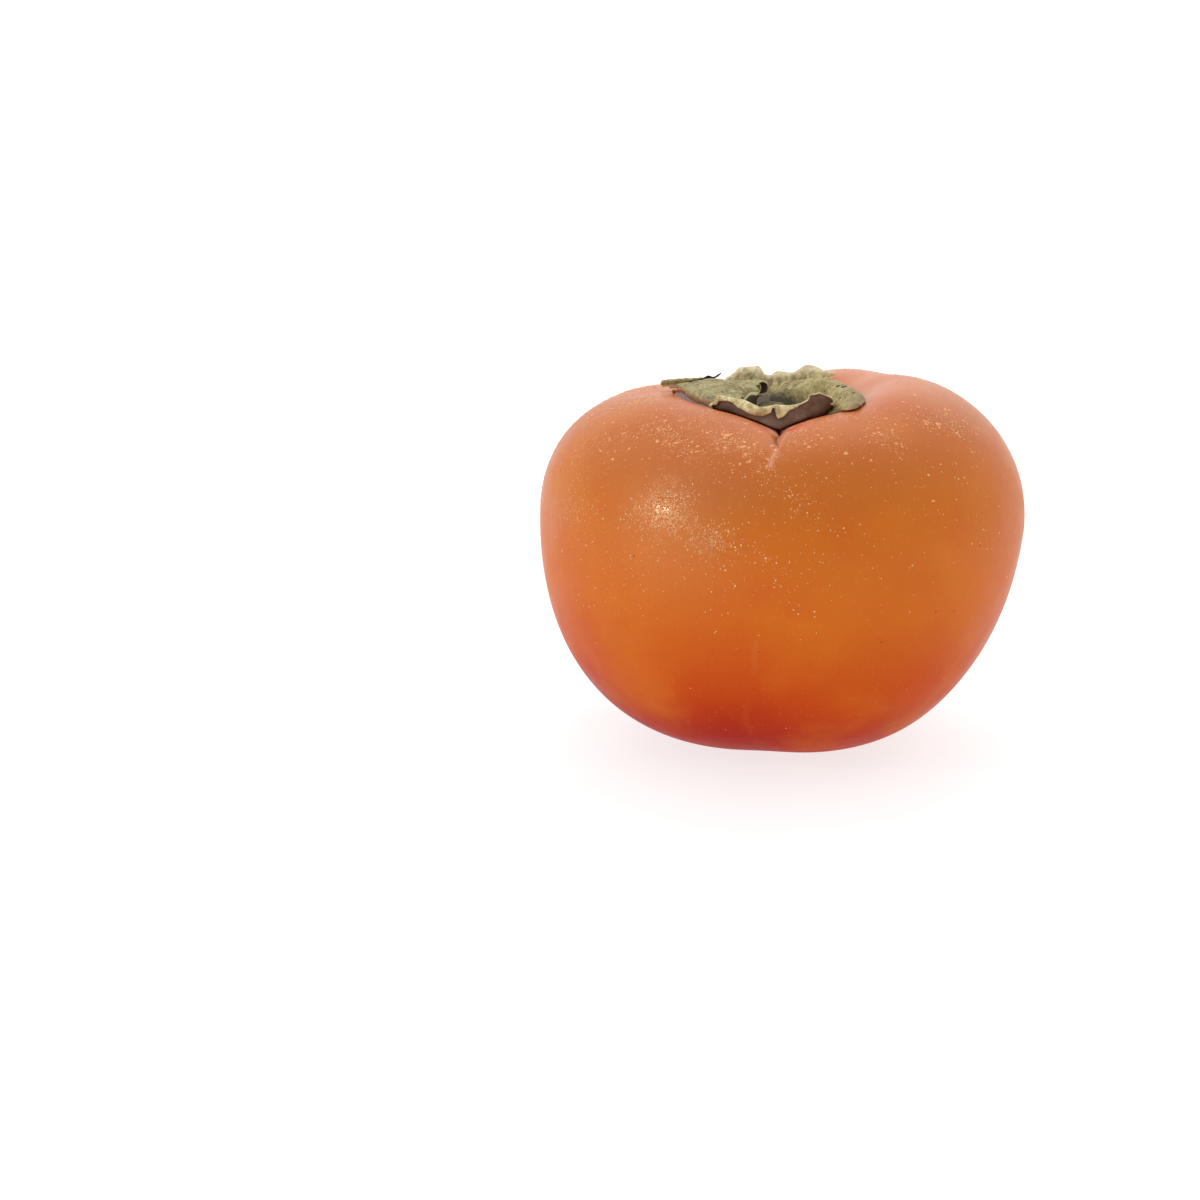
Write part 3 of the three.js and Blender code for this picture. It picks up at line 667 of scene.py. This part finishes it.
def sliver(path, half_width, lean, ragged, char):
    """A narrow strip along a path, pointed at both ends."""
    rows, columns = 90, 11
    along = np.linspace(0, 1, rows)
    spine = catmull_rom(along, len(path)) @ np.array(path, float) + CALYX_CENTRE
    end_gap = np.minimum(along, 1 - along) * norm(spine[-1] - spine[0])
    width = half_width * np.minimum(1, 0.4 + end_gap / half_width) * (1 + ragged * ripple(spine, 0.5, 81))
    side = np.linspace(-1, 1, columns)
    p = spine[:, None] + unit(np.array(lean, float)) * (width[:, None] * side)[..., None]
    p[..., 1] += 0.12 * ripple(p, 1.4, 82)
    share = along[:, None] + 0 * side
    margin = (1 - np.abs(side)) * width[:, None]
    return blade(p, margin, 0.5 + 0 * share, 0 * share, LEFT, char)


def disc_mesh():
    azimuth = np.linspace(-math.pi, math.pi, DISC_SIDES, endpoint=False)[None, :]
    share = np.linspace(0, 1, DISC_RINGS + 1)[1:, None]
    x = CALYX_CENTRE[0] + share * DISC_RADIUS * np.cos(azimuth)
    y = CALYX_CENTRE[1] + share * DISC_RADIUS * np.sin(azimuth)
    skin = crown_height(x, y) + DISC_GAP
    top = np.maximum(CALYX_CENTRE[2] - DISC_DISH * (1 - share ** 2), skin + DISC_LEAST)
    upper = np.stack((x, y, top), -1)
    relief = 0.12 * ripple(upper, 0.9, 61) + 0.2 * ripple(upper, 2.6, 62)
    upper[..., 2] += relief * smoothstep(0, 0.25, share)
    lower = np.stack((x, y, skin), -1)[::-1]
    centre = CALYX_CENTRE[:2]
    crown = (*centre, CALYX_CENTRE[2] - DISC_DISH)
    foot = (*centre, float(crown_height(*centre)) + DISC_GAP)
    points, faces = capped_rings(crown, np.concatenate((upper, lower)), foot)
    zero = np.zeros(len(points))
    facts = {name: zero for name in ("along", "across", "rim", "under", "char", "hole")}
    facts.update(margin=zero + 4, lobe=zero + 9, deep=zero + 1)
    return points, faces, facts


def calyx_mesh():
    parts = [disc_mesh()]
    parts += [blade(*lobe_sheet(number), number) for number in range(len(LOBES))]
    parts.append(blade(*roll_sheet(), LEFT))
    parts += [sliver(*row) for row in SLIVERS]
    return joined(parts)


def stub_mesh():
    foot = CALYX_CENTRE[2] + DISC_DISH * ((STUB_FOOT / DISC_RADIUS) ** 2 - 1) + STUB_RAISED
    profile = (
        (STUB_RADIUS * 0.4, STUB_HEIGHT - STUB_SLOPE),
        (STUB_RADIUS * 0.7, STUB_HEIGHT),
        (STUB_RADIUS * 0.9, STUB_HEIGHT),
        (STUB_RADIUS, STUB_HEIGHT * 0.85),
        (STUB_RADIUS * 1.04, STUB_HEIGHT * 0.5),
        (STUB_FOOT * 0.9, STUB_HEIGHT * 0.15),
        (STUB_FOOT, 0.0),
        (STUB_FOOT * 0.6, -STUB_SUNK),
    )
    azimuth = np.linspace(-math.pi, math.pi, STUB_SIDES, endpoint=False)
    rings = []
    for radius, height in profile:
        ring = np.stack((radius * np.cos(azimuth), radius * np.sin(azimuth), np.full(STUB_SIDES, height)), -1)
        ring[:, :2] *= (1 + 0.05 * ripple(ring, 0.8, 71))[:, None]
        rings.append(ring)
    points, faces = capped_rings((0, 0, STUB_HEIGHT - STUB_PITH), np.array(rings), (0, 0, -STUB_SUNK))
    return points + (CALYX_CENTRE[0], CALYX_CENTRE[1], foot), faces


# ---- Dew ----

def dew_density(centres, shoulder_share):
    """How likely a drop is at each place: mostly on the upper skin and to the left."""
    x, y, z = centres.T
    distance = np.hypot(x, y)
    leftward = 1 - 0.8 * smoothstep(*DEW_LEFT, x)
    upper = smoothstep(*DEW_UPPER, z) * leftward
    ring, spread, thickness = DEW_SHOULDER
    shoulder = np.exp(-(((distance - ring) / spread) ** 2)) * (z > GIRTH_HEIGHT) * (0.75 + 0.25 * leftward)
    total = upper * (1 - shoulder_share) + thickness * shoulder
    for middle, reach, strength in DEW_CLUSTERS:
        away = norm(centres - middle) / reach
        total = total + strength * (1 - 0.97 * shoulder_share) * np.exp(-away * away)
    patchy = 0.35 + np.clip(ripple(centres, 5.0, 91), 0, 2)
    crease = crease_depth(distance, np.arctan2(y, x)) / CREASES[0][1]
    clear = smoothstep(18, 21, distance) * (z > 8) * (1 - (z > GIRTH_HEIGHT) * spot(centres, *WET_POCKET))
    clear = clear * (1 - smoothstep(0.25, 0.5, crease))
    return (0.01 * (1 - shoulder_share) + total) * patchy * clear


def dew_drop(place, normal, radius, height, rng):
    """One low, uneven drop, and its painted glint at each point: brightest at its top and its lit side."""
    side = unit(np.cross(normal, rng.normal(size=3)))
    other = np.cross(normal, side)
    angle = np.linspace(0, 2 * math.pi, DEW_SIDES, endpoint=False)
    uneven = 1 + 0.2 * np.sin(angle + rng.uniform(0, 6)) + 0.25 * np.sin(2 * angle + rng.uniform(0, 6))
    rings = []
    for ring in range(1, DEW_RINGS + 1):
        lean = math.pi / 2 * ring / DEW_RINGS
        spread = radius * math.sin(lean) * uneven
        rise = height * math.cos(lean) - DEW_SINK * radius * (ring == DEW_RINGS)
        flat = np.outer(spread * np.cos(angle), side) + np.outer(spread * np.sin(angle), other)
        rings.append(place + flat + normal * rise)
    top = place + normal * height
    bottom = place - normal * DEW_SINK * radius
    points, faces = capped_rings(top, np.array(rings), bottom)
    away = (points - place) / radius
    painted_glint = 1 - smoothstep(0.35, 1.0, norm(away - 0.2 * KEY_SIDE - 0.35 * normal))
    return points, faces, painted_glint


def random_place(corners, rng):
    """A random place on a four-sided face."""
    share = rng.uniform(0, 1, 2)
    low = corners[0] * (1 - share[0]) + corners[1] * share[0]
    high = corners[3] * (1 - share[0]) + corners[2] * share[0]
    return low * (1 - share[1]) + high * share[1]


def dew_mesh(skin_points, skin_faces):
    rng = np.random.default_rng(DEW_SEED)
    quads = np.array([face for face in skin_faces if len(face) == 4])
    corners = skin_points[quads]
    centres = corners.mean(axis=1)
    normals = np.cross(corners[:, 2] - corners[:, 0], corners[:, 3] - corners[:, 1])
    area = norm(normals)
    normals = unit(normals)
    parts = []
    for count, smallest, largest, height_share, shoulder_share in DEW_KINDS:
        chance = area * dew_density(centres, shoulder_share)
        for face in rng.choice(len(quads), size=count, p=chance / chance.sum()):
            place = random_place(corners[face], rng)
            radius = smallest + (largest - smallest) * rng.uniform(0, 1) ** DEW_SKEW
            height = radius * height_share * rng.uniform(0.8, 1.2)
            points, faces, painted_glint = dew_drop(place, normals[face], radius, height, rng)
            # painted glint, dimmed at random, and at least DEW_PALE on the flat shoulder drops
            painted_glint = np.maximum(painted_glint * rng.uniform(0.5, 1), DEW_PALE * shoulder_share)
            parts.append((points, faces, {"painted_glint": painted_glint, "flat": np.full(len(points), shoulder_share)}))
    return joined(parts)


# ---- Materials ----

class Shade:
    """A material's nodes, with short ways to add and join them."""

    def __init__(self, name):
        self.material = bpy.data.materials.new(name)
        self.material.use_nodes = True
        self.tree = self.material.node_tree
        self.shader = self.tree.nodes["Principled BSDF"]
        self.place = self.add("ShaderNodeTexCoord").outputs["Object"]

    def add(self, kind, values=(), **settings):
        """A node with its settings, and with values or links for its sockets by number or name."""
        made = self.tree.nodes.new(kind)
        for key, value in settings.items():
            setattr(made, key, value)
        for socket, value in dict(values).items():
            self.feed(made.inputs[socket], value)
        return made

    def feed(self, socket, value):
        if isinstance(value, bpy.types.NodeSocket):
            self.tree.links.new(value, socket)
        else:
            socket.default_value = value

    def set(self, **values):
        for key, value in values.items():
            self.feed(self.shader.inputs[key.replace("_", " ")], value)

    def fact(self, name):
        return self.add("ShaderNodeAttribute", attribute_name=name).outputs["Fac"]

    def sum(self, kind, first, second=0.0, third=0.0):
        return self.add("ShaderNodeMath", enumerate((first, second, third)), operation=kind).outputs[0]

    def times(self, first, second):
        return self.sum("MULTIPLY", first, second)

    def noise(self, size_mm, detail=2.0, rough=0.5, twist=0.0, where=None):
        """Cloudy noise around 0.5, with lumps of about size_mm."""
        values = {"Vector": where or self.place, "Scale": 0.5 / (size_mm * MM)}
        values.update(Detail=detail, Roughness=rough, Distortion=twist)
        return self.add("ShaderNodeTexNoise", values).outputs["Fac"]

    def cells(self, size_mm):
        """Distance from the middle of scattered cells, in cell sizes, and a random number for each cell."""
        made = self.add("ShaderNodeTexVoronoi", {"Vector": self.place, "Scale": 1 / (size_mm * MM)})
        chance = self.add("ShaderNodeSeparateColor", {0: made.outputs["Color"]}).outputs[0]
        return made.outputs["Distance"], chance

    def span(self, value, low, high, start=0.0, end=1.0):
        """The value's range low to high, eased into start to end."""
        values = enumerate((value, low, high, start, end))
        return self.add("ShaderNodeMapRange", values, interpolation_type="SMOOTHSTEP").outputs[0]

    def ramp(self, value, stops):
        made = self.add("ShaderNodeValToRGB", {0: value})
        points = made.color_ramp.elements
        while len(points) < len(stops):
            points.new(0.5)
        for point, (at, colour) in zip(points, stops):
            point.position = at
            point.color = (*colour, 1)
        return made.outputs[0]

    def mix(self, share, first, second, kind="MIX"):
        first, second = (v if isinstance(v, bpy.types.NodeSocket) else (*v, 1) for v in (first, second))
        values = {0: share, 6: first, 7: second}
        return self.add("ShaderNodeMix", values, data_type="RGBA", blend_type=kind).outputs[2]

    def bump(self, height, depth_mm, under=None):
        """Relief depth_mm deep where height goes from 0 to 1, on top of another relief."""
        values = {"Distance": depth_mm * MM, "Height": height}
        if under:
            values["Normal"] = under
        return self.add("ShaderNodeBump", values).outputs[0]


def skin_colour(s, height):
    """Orange skin, redder towards the blossom end and darker there with painted shade, with its marks, some
    of them painted highlights, sheen and shade, its specks, and a pale speckle that is partly the skin's own
    and partly painted glints of the dew.
    """
    level = s.span(height, 0, FRUIT_TOP * MM)
    level = s.sum("MULTIPLY_ADD", s.sum("SUBTRACT", s.noise(14, 3), 0.5), 0.3, level)
    colour = s.ramp(level, SKIN_RAMP)
    colour = s.mix(s.span(s.noise(9, 4), 0.45, 0.75, 0, 0.35), colour, (0.66, 0.19, 0.010))
    colour = s.mix(s.span(s.noise(5, 5), 0.5, 0.8, 0, 0.3), colour, (0.57, 0.080, 0.010))
    for name, edge, share, mark in SKIN_MARKS:
        fact = s.fact(name)
        cover = s.span(fact, *edge, 0, share) if edge else s.times(fact, share)
        colour = s.mix(cover, colour, mark)
    distance, chance = s.cells(4.2)
    speck = s.times(s.span(distance, 0.03, 0.07, 1, 0), s.span(chance, 0.5, 0.52))
    colour = s.mix(s.times(speck, 0.6), colour, (0.20, 0.03, 0.008))
    # painted sheen: paler patches where the mist has run together
    colour = s.mix(s.times(wet_blotch(s), 0.14), colour, (0.78, 0.32, 0.13))
    # a pale speckle over the skin: partly its own texture, and painted glints of the mist, more where the dew
    # lies
    distance, chance = s.cells(0.9)
    grain_and_glint = s.times(s.span(distance, 0.1, 0.35, 1, 0), s.span(chance, 0.3, 0.8))
    misted = s.sum("MULTIPLY_ADD", s.fact("mist"), 0.45, 0.08)
    colour = s.mix(s.times(grain_and_glint, misted), colour, (0.78, 0.36, 0.15))
    return s.mix(s.fact("tip"), colour, (0.035, 0.018, 0.010))


def wet_blotch(s):
    """1 in small patches where the mist has run together."""
    patches = s.span(s.noise(0.7, 3, 0.6, 0.4), 0.5, 0.66)
    return s.times(patches, s.span(s.fact("mist"), 0.05, 0.6))


def skin_relief(s):
    """Fine pores, and the smallest beads of mist where the dew lies."""
    relief = s.bump(s.noise(1.6, 3), 0.05)
    distance, chance = s.cells(0.55)
    beads = s.times(s.span(distance, 0.0, 0.42, 1, 0), s.span(chance, 0.35, 0.6))
    beads = s.times(beads, s.span(s.fact("mist"), 0.03, 0.5))
    relief = s.bump(beads, 0.09, relief)
    relief = s.bump(wet_blotch(s), 0.06, relief)
    distance, chance = s.cells(0.28)
    mist = s.times(s.span(distance, 0.0, 0.5, 1, 0), s.span(chance, 0.2, 0.5))
    return s.bump(s.times(mist, s.fact("glitter")), 0.09, relief)


def skin_material():
    s = Shade("persimmon_skin")
    height = s.add("ShaderNodeSeparateXYZ", {0: s.place}).outputs["Z"]
    rough = s.span(s.noise(4, 4), 0.3, 0.7, 0.34, 0.44)
    for name, share in (("gleam", 0.08), ("glitter", 0.14), ("wet", 0.1)):
        rough = s.sum("SUBTRACT", rough, s.times(s.fact(name), share))
    gloss = s.span(height, 0.0, GLOSS_TOP * MM, 0.02, 0.25)
    for name, share in (("gleam", 0.7), ("glitter", 0.4)):
        gloss = s.sum("ADD", gloss, s.times(s.fact(name), share))
    s.set(Base_Color=skin_colour(s, height), Roughness=rough, Normal=skin_relief(s))
    s.set(Subsurface_Weight=0.1, Subsurface_Radius=(1.0, 0.3, 0.08), Subsurface_Scale=0.003)
    s.set(Specular_IOR_Level=s.sum("MINIMUM", gloss, 1.0), Specular_Tint=(1.0, 0.8, 0.6, 1.0))
    return s.material


def mottled_face(s, lobe, streak):
    """The olive upper face of the lobes, each in a tone that is partly its own colour and partly painted
    shade.
    """
    colour = s.mix(s.span(s.noise(2.8, 4), 0.35, 0.65), (0.36, 0.30, 0.14), (0.60, 0.54, 0.27))
    colour = s.mix(s.span(s.noise(0.4, 4, 0.7), 0.46, 0.68, 0, 0.85), colour, (0.86, 0.80, 0.52))
    colour = s.mix(s.span(s.noise(0.3, 5, 0.7, 0.6), 0.5, 0.68, 0, 0.85), colour, (0.15, 0.11, 0.05))
    colour = s.mix(s.span(streak, 0.5, 0.68, 0, 0.45), colour, (0.24, 0.17, 0.07))
    colour = s.mix(s.span(s.noise(2.0, 5, 0.6, 0.6), 0.58, 0.7, 0, 0.6), colour, (0.16, 0.115, 0.055))
    distance, chance = s.cells(1.1)
    ragged = s.sum("MULTIPLY_ADD", s.noise(0.4, 3), 0.3, distance)
    fleck = s.times(s.span(ragged, 0.25, 0.38, 1, 0), s.span(chance, 0.5, 0.55))
    colour = s.mix(s.times(fleck, 0.8), colour, (0.05, 0.036, 0.022))
    stops = [(0.1 * number, tone) for number, tone in enumerate(LOBE_TONES_AND_SHADE)]
    return s.mix(1.0, colour, s.ramp(s.times(lobe, 0.1), stops), "MULTIPLY")


def faded_back(s, colour, back, streak):
    """The back lobe paler on its outer part and amber inside, darker there with painted shade."""
    outer = s.times(back, s.span(s.fact("along"), 0.55, 0.8, 0, 0.4))
    colour = s.mix(outer, colour, (0.84, 0.70, 0.48))
    inner = s.times(back, s.span(s.fact("along"), 0.6, 0.85, 1, 0))
    # painted shade: the inner wall amber and, in streaks, dark
    amber = s.mix(s.span(streak, 0.42, 0.6), (0.50, 0.36, 0.15), (0.17, 0.10, 0.045))
    return s.mix(s.times(inner, 0.6), colour, amber)


def rims_and_bowl(s, colour, edge, brown, left):
    """Cream on the margins and the arching edge, and painted shade down in the bowl."""
    cream = s.mix(s.span(s.noise(0.6, 4, 0.7), 0.4, 0.62), (0.46, 0.37, 0.16), (0.95, 0.85, 0.50))
    band = s.sum("MAXIMUM", s.span(edge, 0.15, 0.5, 0.9, 0), s.times(s.fact("rim"), 0.7))
    band = s.times(band, s.sum("MULTIPLY_ADD", brown, -0.9, 1.0))
    colour = s.mix(band, colour, cream)
    # painted shade down in the bowl, darkest under the left lobe's arch
    bowl_shade_tone = s.mix(s.noise(1.2, 3), (0.06, 0.046, 0.036), (0.14, 0.12, 0.09))
    bowl_shade_tone = s.mix(left, bowl_shade_tone, (0.05, 0.038, 0.03))
    colour = s.mix(s.times(s.fact("deep"), 0.9), colour, bowl_shade_tone)
    lip = s.sum("ABSOLUTE", s.sum("SUBTRACT", s.fact("along"), ARCH_AT))
    lip = s.times(s.span(lip, 0.008, 0.02, 0.95, 0), left)
    return s.mix(lip, colour, s.mix(s.noise(0.5, 4), (0.80, 0.68, 0.38), (1.0, 0.94, 0.68)))


def lobe_underside(s, streak, edge):
    """Brown, darker with painted shade, with a paler margin."""
    shade = s.mix(s.span(s.noise(2.6, 4), 0.35, 0.7), (0.155, 0.11, 0.08), (0.29, 0.205, 0.145))
    shade = s.mix(s.span(streak, 0.45, 0.7, 0, 0.4), shade, (0.12, 0.08, 0.055))
    return s.mix(s.span(edge, 0.1, 0.4, 0.8, 0), shade, (0.55, 0.45, 0.26))


def calyx_material():
    s = Shade("dried_calyx")
    lobe, char = s.fact("lobe"), s.fact("char")
    right, back, left = (s.sum("COMPARE", lobe, float(number), 0.1) for number in (RIGHT, BACK, LEFT))
    veins = enumerate(s.times(s.fact(name), stretch) for name, stretch in VEIN_STRETCH)
    streak = s.noise(0.45, 3, where=s.add("ShaderNodeCombineXYZ", veins).outputs[0])
    edge = s.sum("ADD", s.fact("margin"), s.sum("MULTIPLY_ADD", s.noise(0.6, 3), 0.8, -0.4))
    brown = s.times(right, s.span(s.fact("along"), 0.45, 0.9))
    colour = mottled_face(s, lobe, streak)
    colour = s.mix(s.times(brown, 0.8), colour, (0.28, 0.18, 0.09))
    colour = faded_back(s, colour, back, streak)
    # painted shade: near black at the torn places on the right lobe
    hole = s.sum("MULTIPLY_ADD", s.noise(0.5, 4, 0.7), 0.9, s.fact("hole"))
    colour = s.mix(s.span(hole, 0.9, 1.05, 0, 0.95), colour, (0.045, 0.034, 0.022))
    colour = rims_and_bowl(s, colour, edge, brown, left)
    # painted shade: the left lobe's rolled rims browner and darker
    foot = s.times(left, s.fact("rim"))
    colour = s.mix(s.times(foot, 0.75), colour, (0.25, 0.14, 0.075))
    # the underside: brown, darkened with painted shade
    colour = s.mix(s.fact("under"), colour, lobe_underside(s, streak, edge))
    wood = s.mix(s.noise(0.9, 4), (0.06, 0.045, 0.025), (0.20, 0.16, 0.085))
    colour = s.mix(s.span(lobe, 5, 6), colour, wood)
    burnt = s.ramp(char, ((0.0, (0.2, 0.1, 0.04)), (0.5, (0.42, 0.19, 0.06)), (1.0, (0.018, 0.016, 0.012))))
    colour = s.mix(s.span(char, 0.0, 0.2), colour, burnt)
    relief = s.bump(s.noise(0.4, 4, 0.7), 0.14)
    relief = s.bump(s.noise(1.3, 3), 0.35, relief)
    relief = s.bump(streak, 0.15, relief)
    rough = s.span(s.noise(1.5), 0.3, 0.7, 0.62, 0.85)
    s.set(Base_Color=colour, Roughness=rough, Normal=relief, Specular_IOR_Level=0.35)
    return s.material


def stem_material():
    s = Shade("cut_stem")
    colour = s.mix(s.noise(0.8, 5, 0.6), (0.05, 0.032, 0.018), (0.24, 0.17, 0.095))
    s.set(Base_Color=colour, Roughness=s.span(s.noise(0.5), 0.3, 0.7, 0.75, 0.95))
    s.set(Normal=s.bump(s.noise(0.4, 4), 0.15))
    return s.material


def dew_material():
    s = Shade("dew_water")
    # painted light: each drop darker orange at its edge as painted shade, bright at its top and lit side as a
    # painted glint, and the flat shoulder drops a pale painted sheen
    rim = s.mix(s.noise(3, 2), (0.48, 0.10, 0.008), (0.62, 0.18, 0.03))
    drop_glint_colour = s.mix(s.fact("painted_glint"), rim, s.mix(s.fact("flat"), (1.0, 0.82, 0.46), (0.92, 0.50, 0.26)))
    s.set(Base_Color=drop_glint_colour, Roughness=s.span(s.noise(3), 0.3, 0.7, 0.05, 0.1))
    s.set(IOR=1.33, Alpha=DEW_VEIL, Specular_IOR_Level=0.4, Specular_Tint=(1.0, 0.75, 0.45, 1.0))
    # painted glow: the drops give off a little orange light, though they are no lamp
    s.set(Emission_Color=(1.0, 0.5, 0.18, 1.0), Emission_Strength=0.15)
    return s.material


def floor_material():
    s = Shade("pale_floor")
    tone = s.mix(s.noise(40, 3), (0.30, 0.30, 0.30), (0.33, 0.33, 0.33))
    s.set(Base_Color=tone, Roughness=s.span(s.noise(25), 0.3, 0.7, 0.6, 0.75))
    s.set(Emission_Color=(1.0, 1.0, 1.0, 1.0), Emission_Strength=0.75)
    return s.material


# ---- Stage, light and camera ----

def add_camera():
    right = Vector((1, 0, 0))
    up = Vector((0, math.sin(CAMERA_TILT), math.cos(CAMERA_TILT)))
    forward = Vector((0, math.cos(CAMERA_TILT), -math.sin(CAMERA_TILT)))
    place = Vector((0, 0, CAMERA_AIM_HEIGHT)) - CAMERA_LEFT * right - CAMERA_DROP * up
    place = (place - CAMERA_DISTANCE * forward) * MM
    data = bpy.data.cameras.new("camera")
    data.lens = CAMERA_LENS
    data.clip_start, data.clip_end = CAMERA_CLIP
    camera = add_object("camera", data)
    camera.matrix_world = Matrix.Translation(place) @ Matrix((right, up, -forward)).transposed().to_4x4()
    bpy.context.scene.camera = camera


def area_light(name, place, target, size, watts):
    data = bpy.data.lights.new(name, "AREA")
    data.shape = "DISK"
    data.size = size
    data.energy = watts
    lamp = add_object(name, data)
    lamp.location = place
    lamp.rotation_euler = (Vector(target) - Vector(place)).to_track_quat("-Z", "Y").to_euler()


def add_floor():
    mesh = bpy.data.meshes.new("floor")
    sides = ((-1, -1), (1, -1), (1, 1), (-1, 1))
    mesh.from_pydata([(x * FLOOR_HALF, y * FLOOR_HALF, FLOOR_LEVEL) for x, y in sides], [], [(0, 1, 2, 3)])
    mesh.materials.append(floor_material())
    add_object("floor", mesh)


def add_light():
    """A white studio, darker behind the camera, with a soft key at the left and a softbox above."""
    world = bpy.data.worlds.new("studio")
    bpy.context.scene.world = world
    world.use_nodes = True
    tree = world.node_tree
    place = tree.nodes.new("ShaderNodeTexCoord")
    parts = tree.nodes.new("ShaderNodeSeparateXYZ")
    tone = tree.nodes.new("ShaderNodeMapRange")
    tree.links.new(place.outputs["Generated"], parts.inputs[0])
    tree.links.new(parts.outputs["Y"], tone.inputs["Value"])
    for name, value in (("From Min", -0.9), ("From Max", 0.6), ("To Min", 0.65), ("To Max", 1.15)):
        tone.inputs[name].default_value = value
    tree.links.new(tone.outputs["Result"], tree.nodes["Background"].inputs["Strength"])
    tree.nodes["Background"].inputs["Color"].default_value = (1, 1, 1, 1)
    area_light("key", *KEY_LIGHT)
    area_light("top_softbox", *TOP_LIGHT)
    bpy.context.scene.view_settings.view_transform = "Standard"


def dress(piece, node, material):
    """The piece rides on the only body, stands for its CAD node and wears the slot's finish."""
    piece.data.materials.append(material)
    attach(piece, "root")
    if node:
        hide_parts(node)


add_camera()
add_floor()
add_light()

points, faces = fruit_mesh()
dress(mesh_object("fruit_skin", points, faces, skin_facts(points)), "fruit", skin_material())
dress(mesh_object("dew", *dew_mesh(points, faces)), None, dew_material())
dress(mesh_object("calyx_dried", *calyx_mesh()), "calyx", calyx_material())
dress(mesh_object("stem_stub_cut", *stub_mesh(), {}), "stem_stub", stem_material())
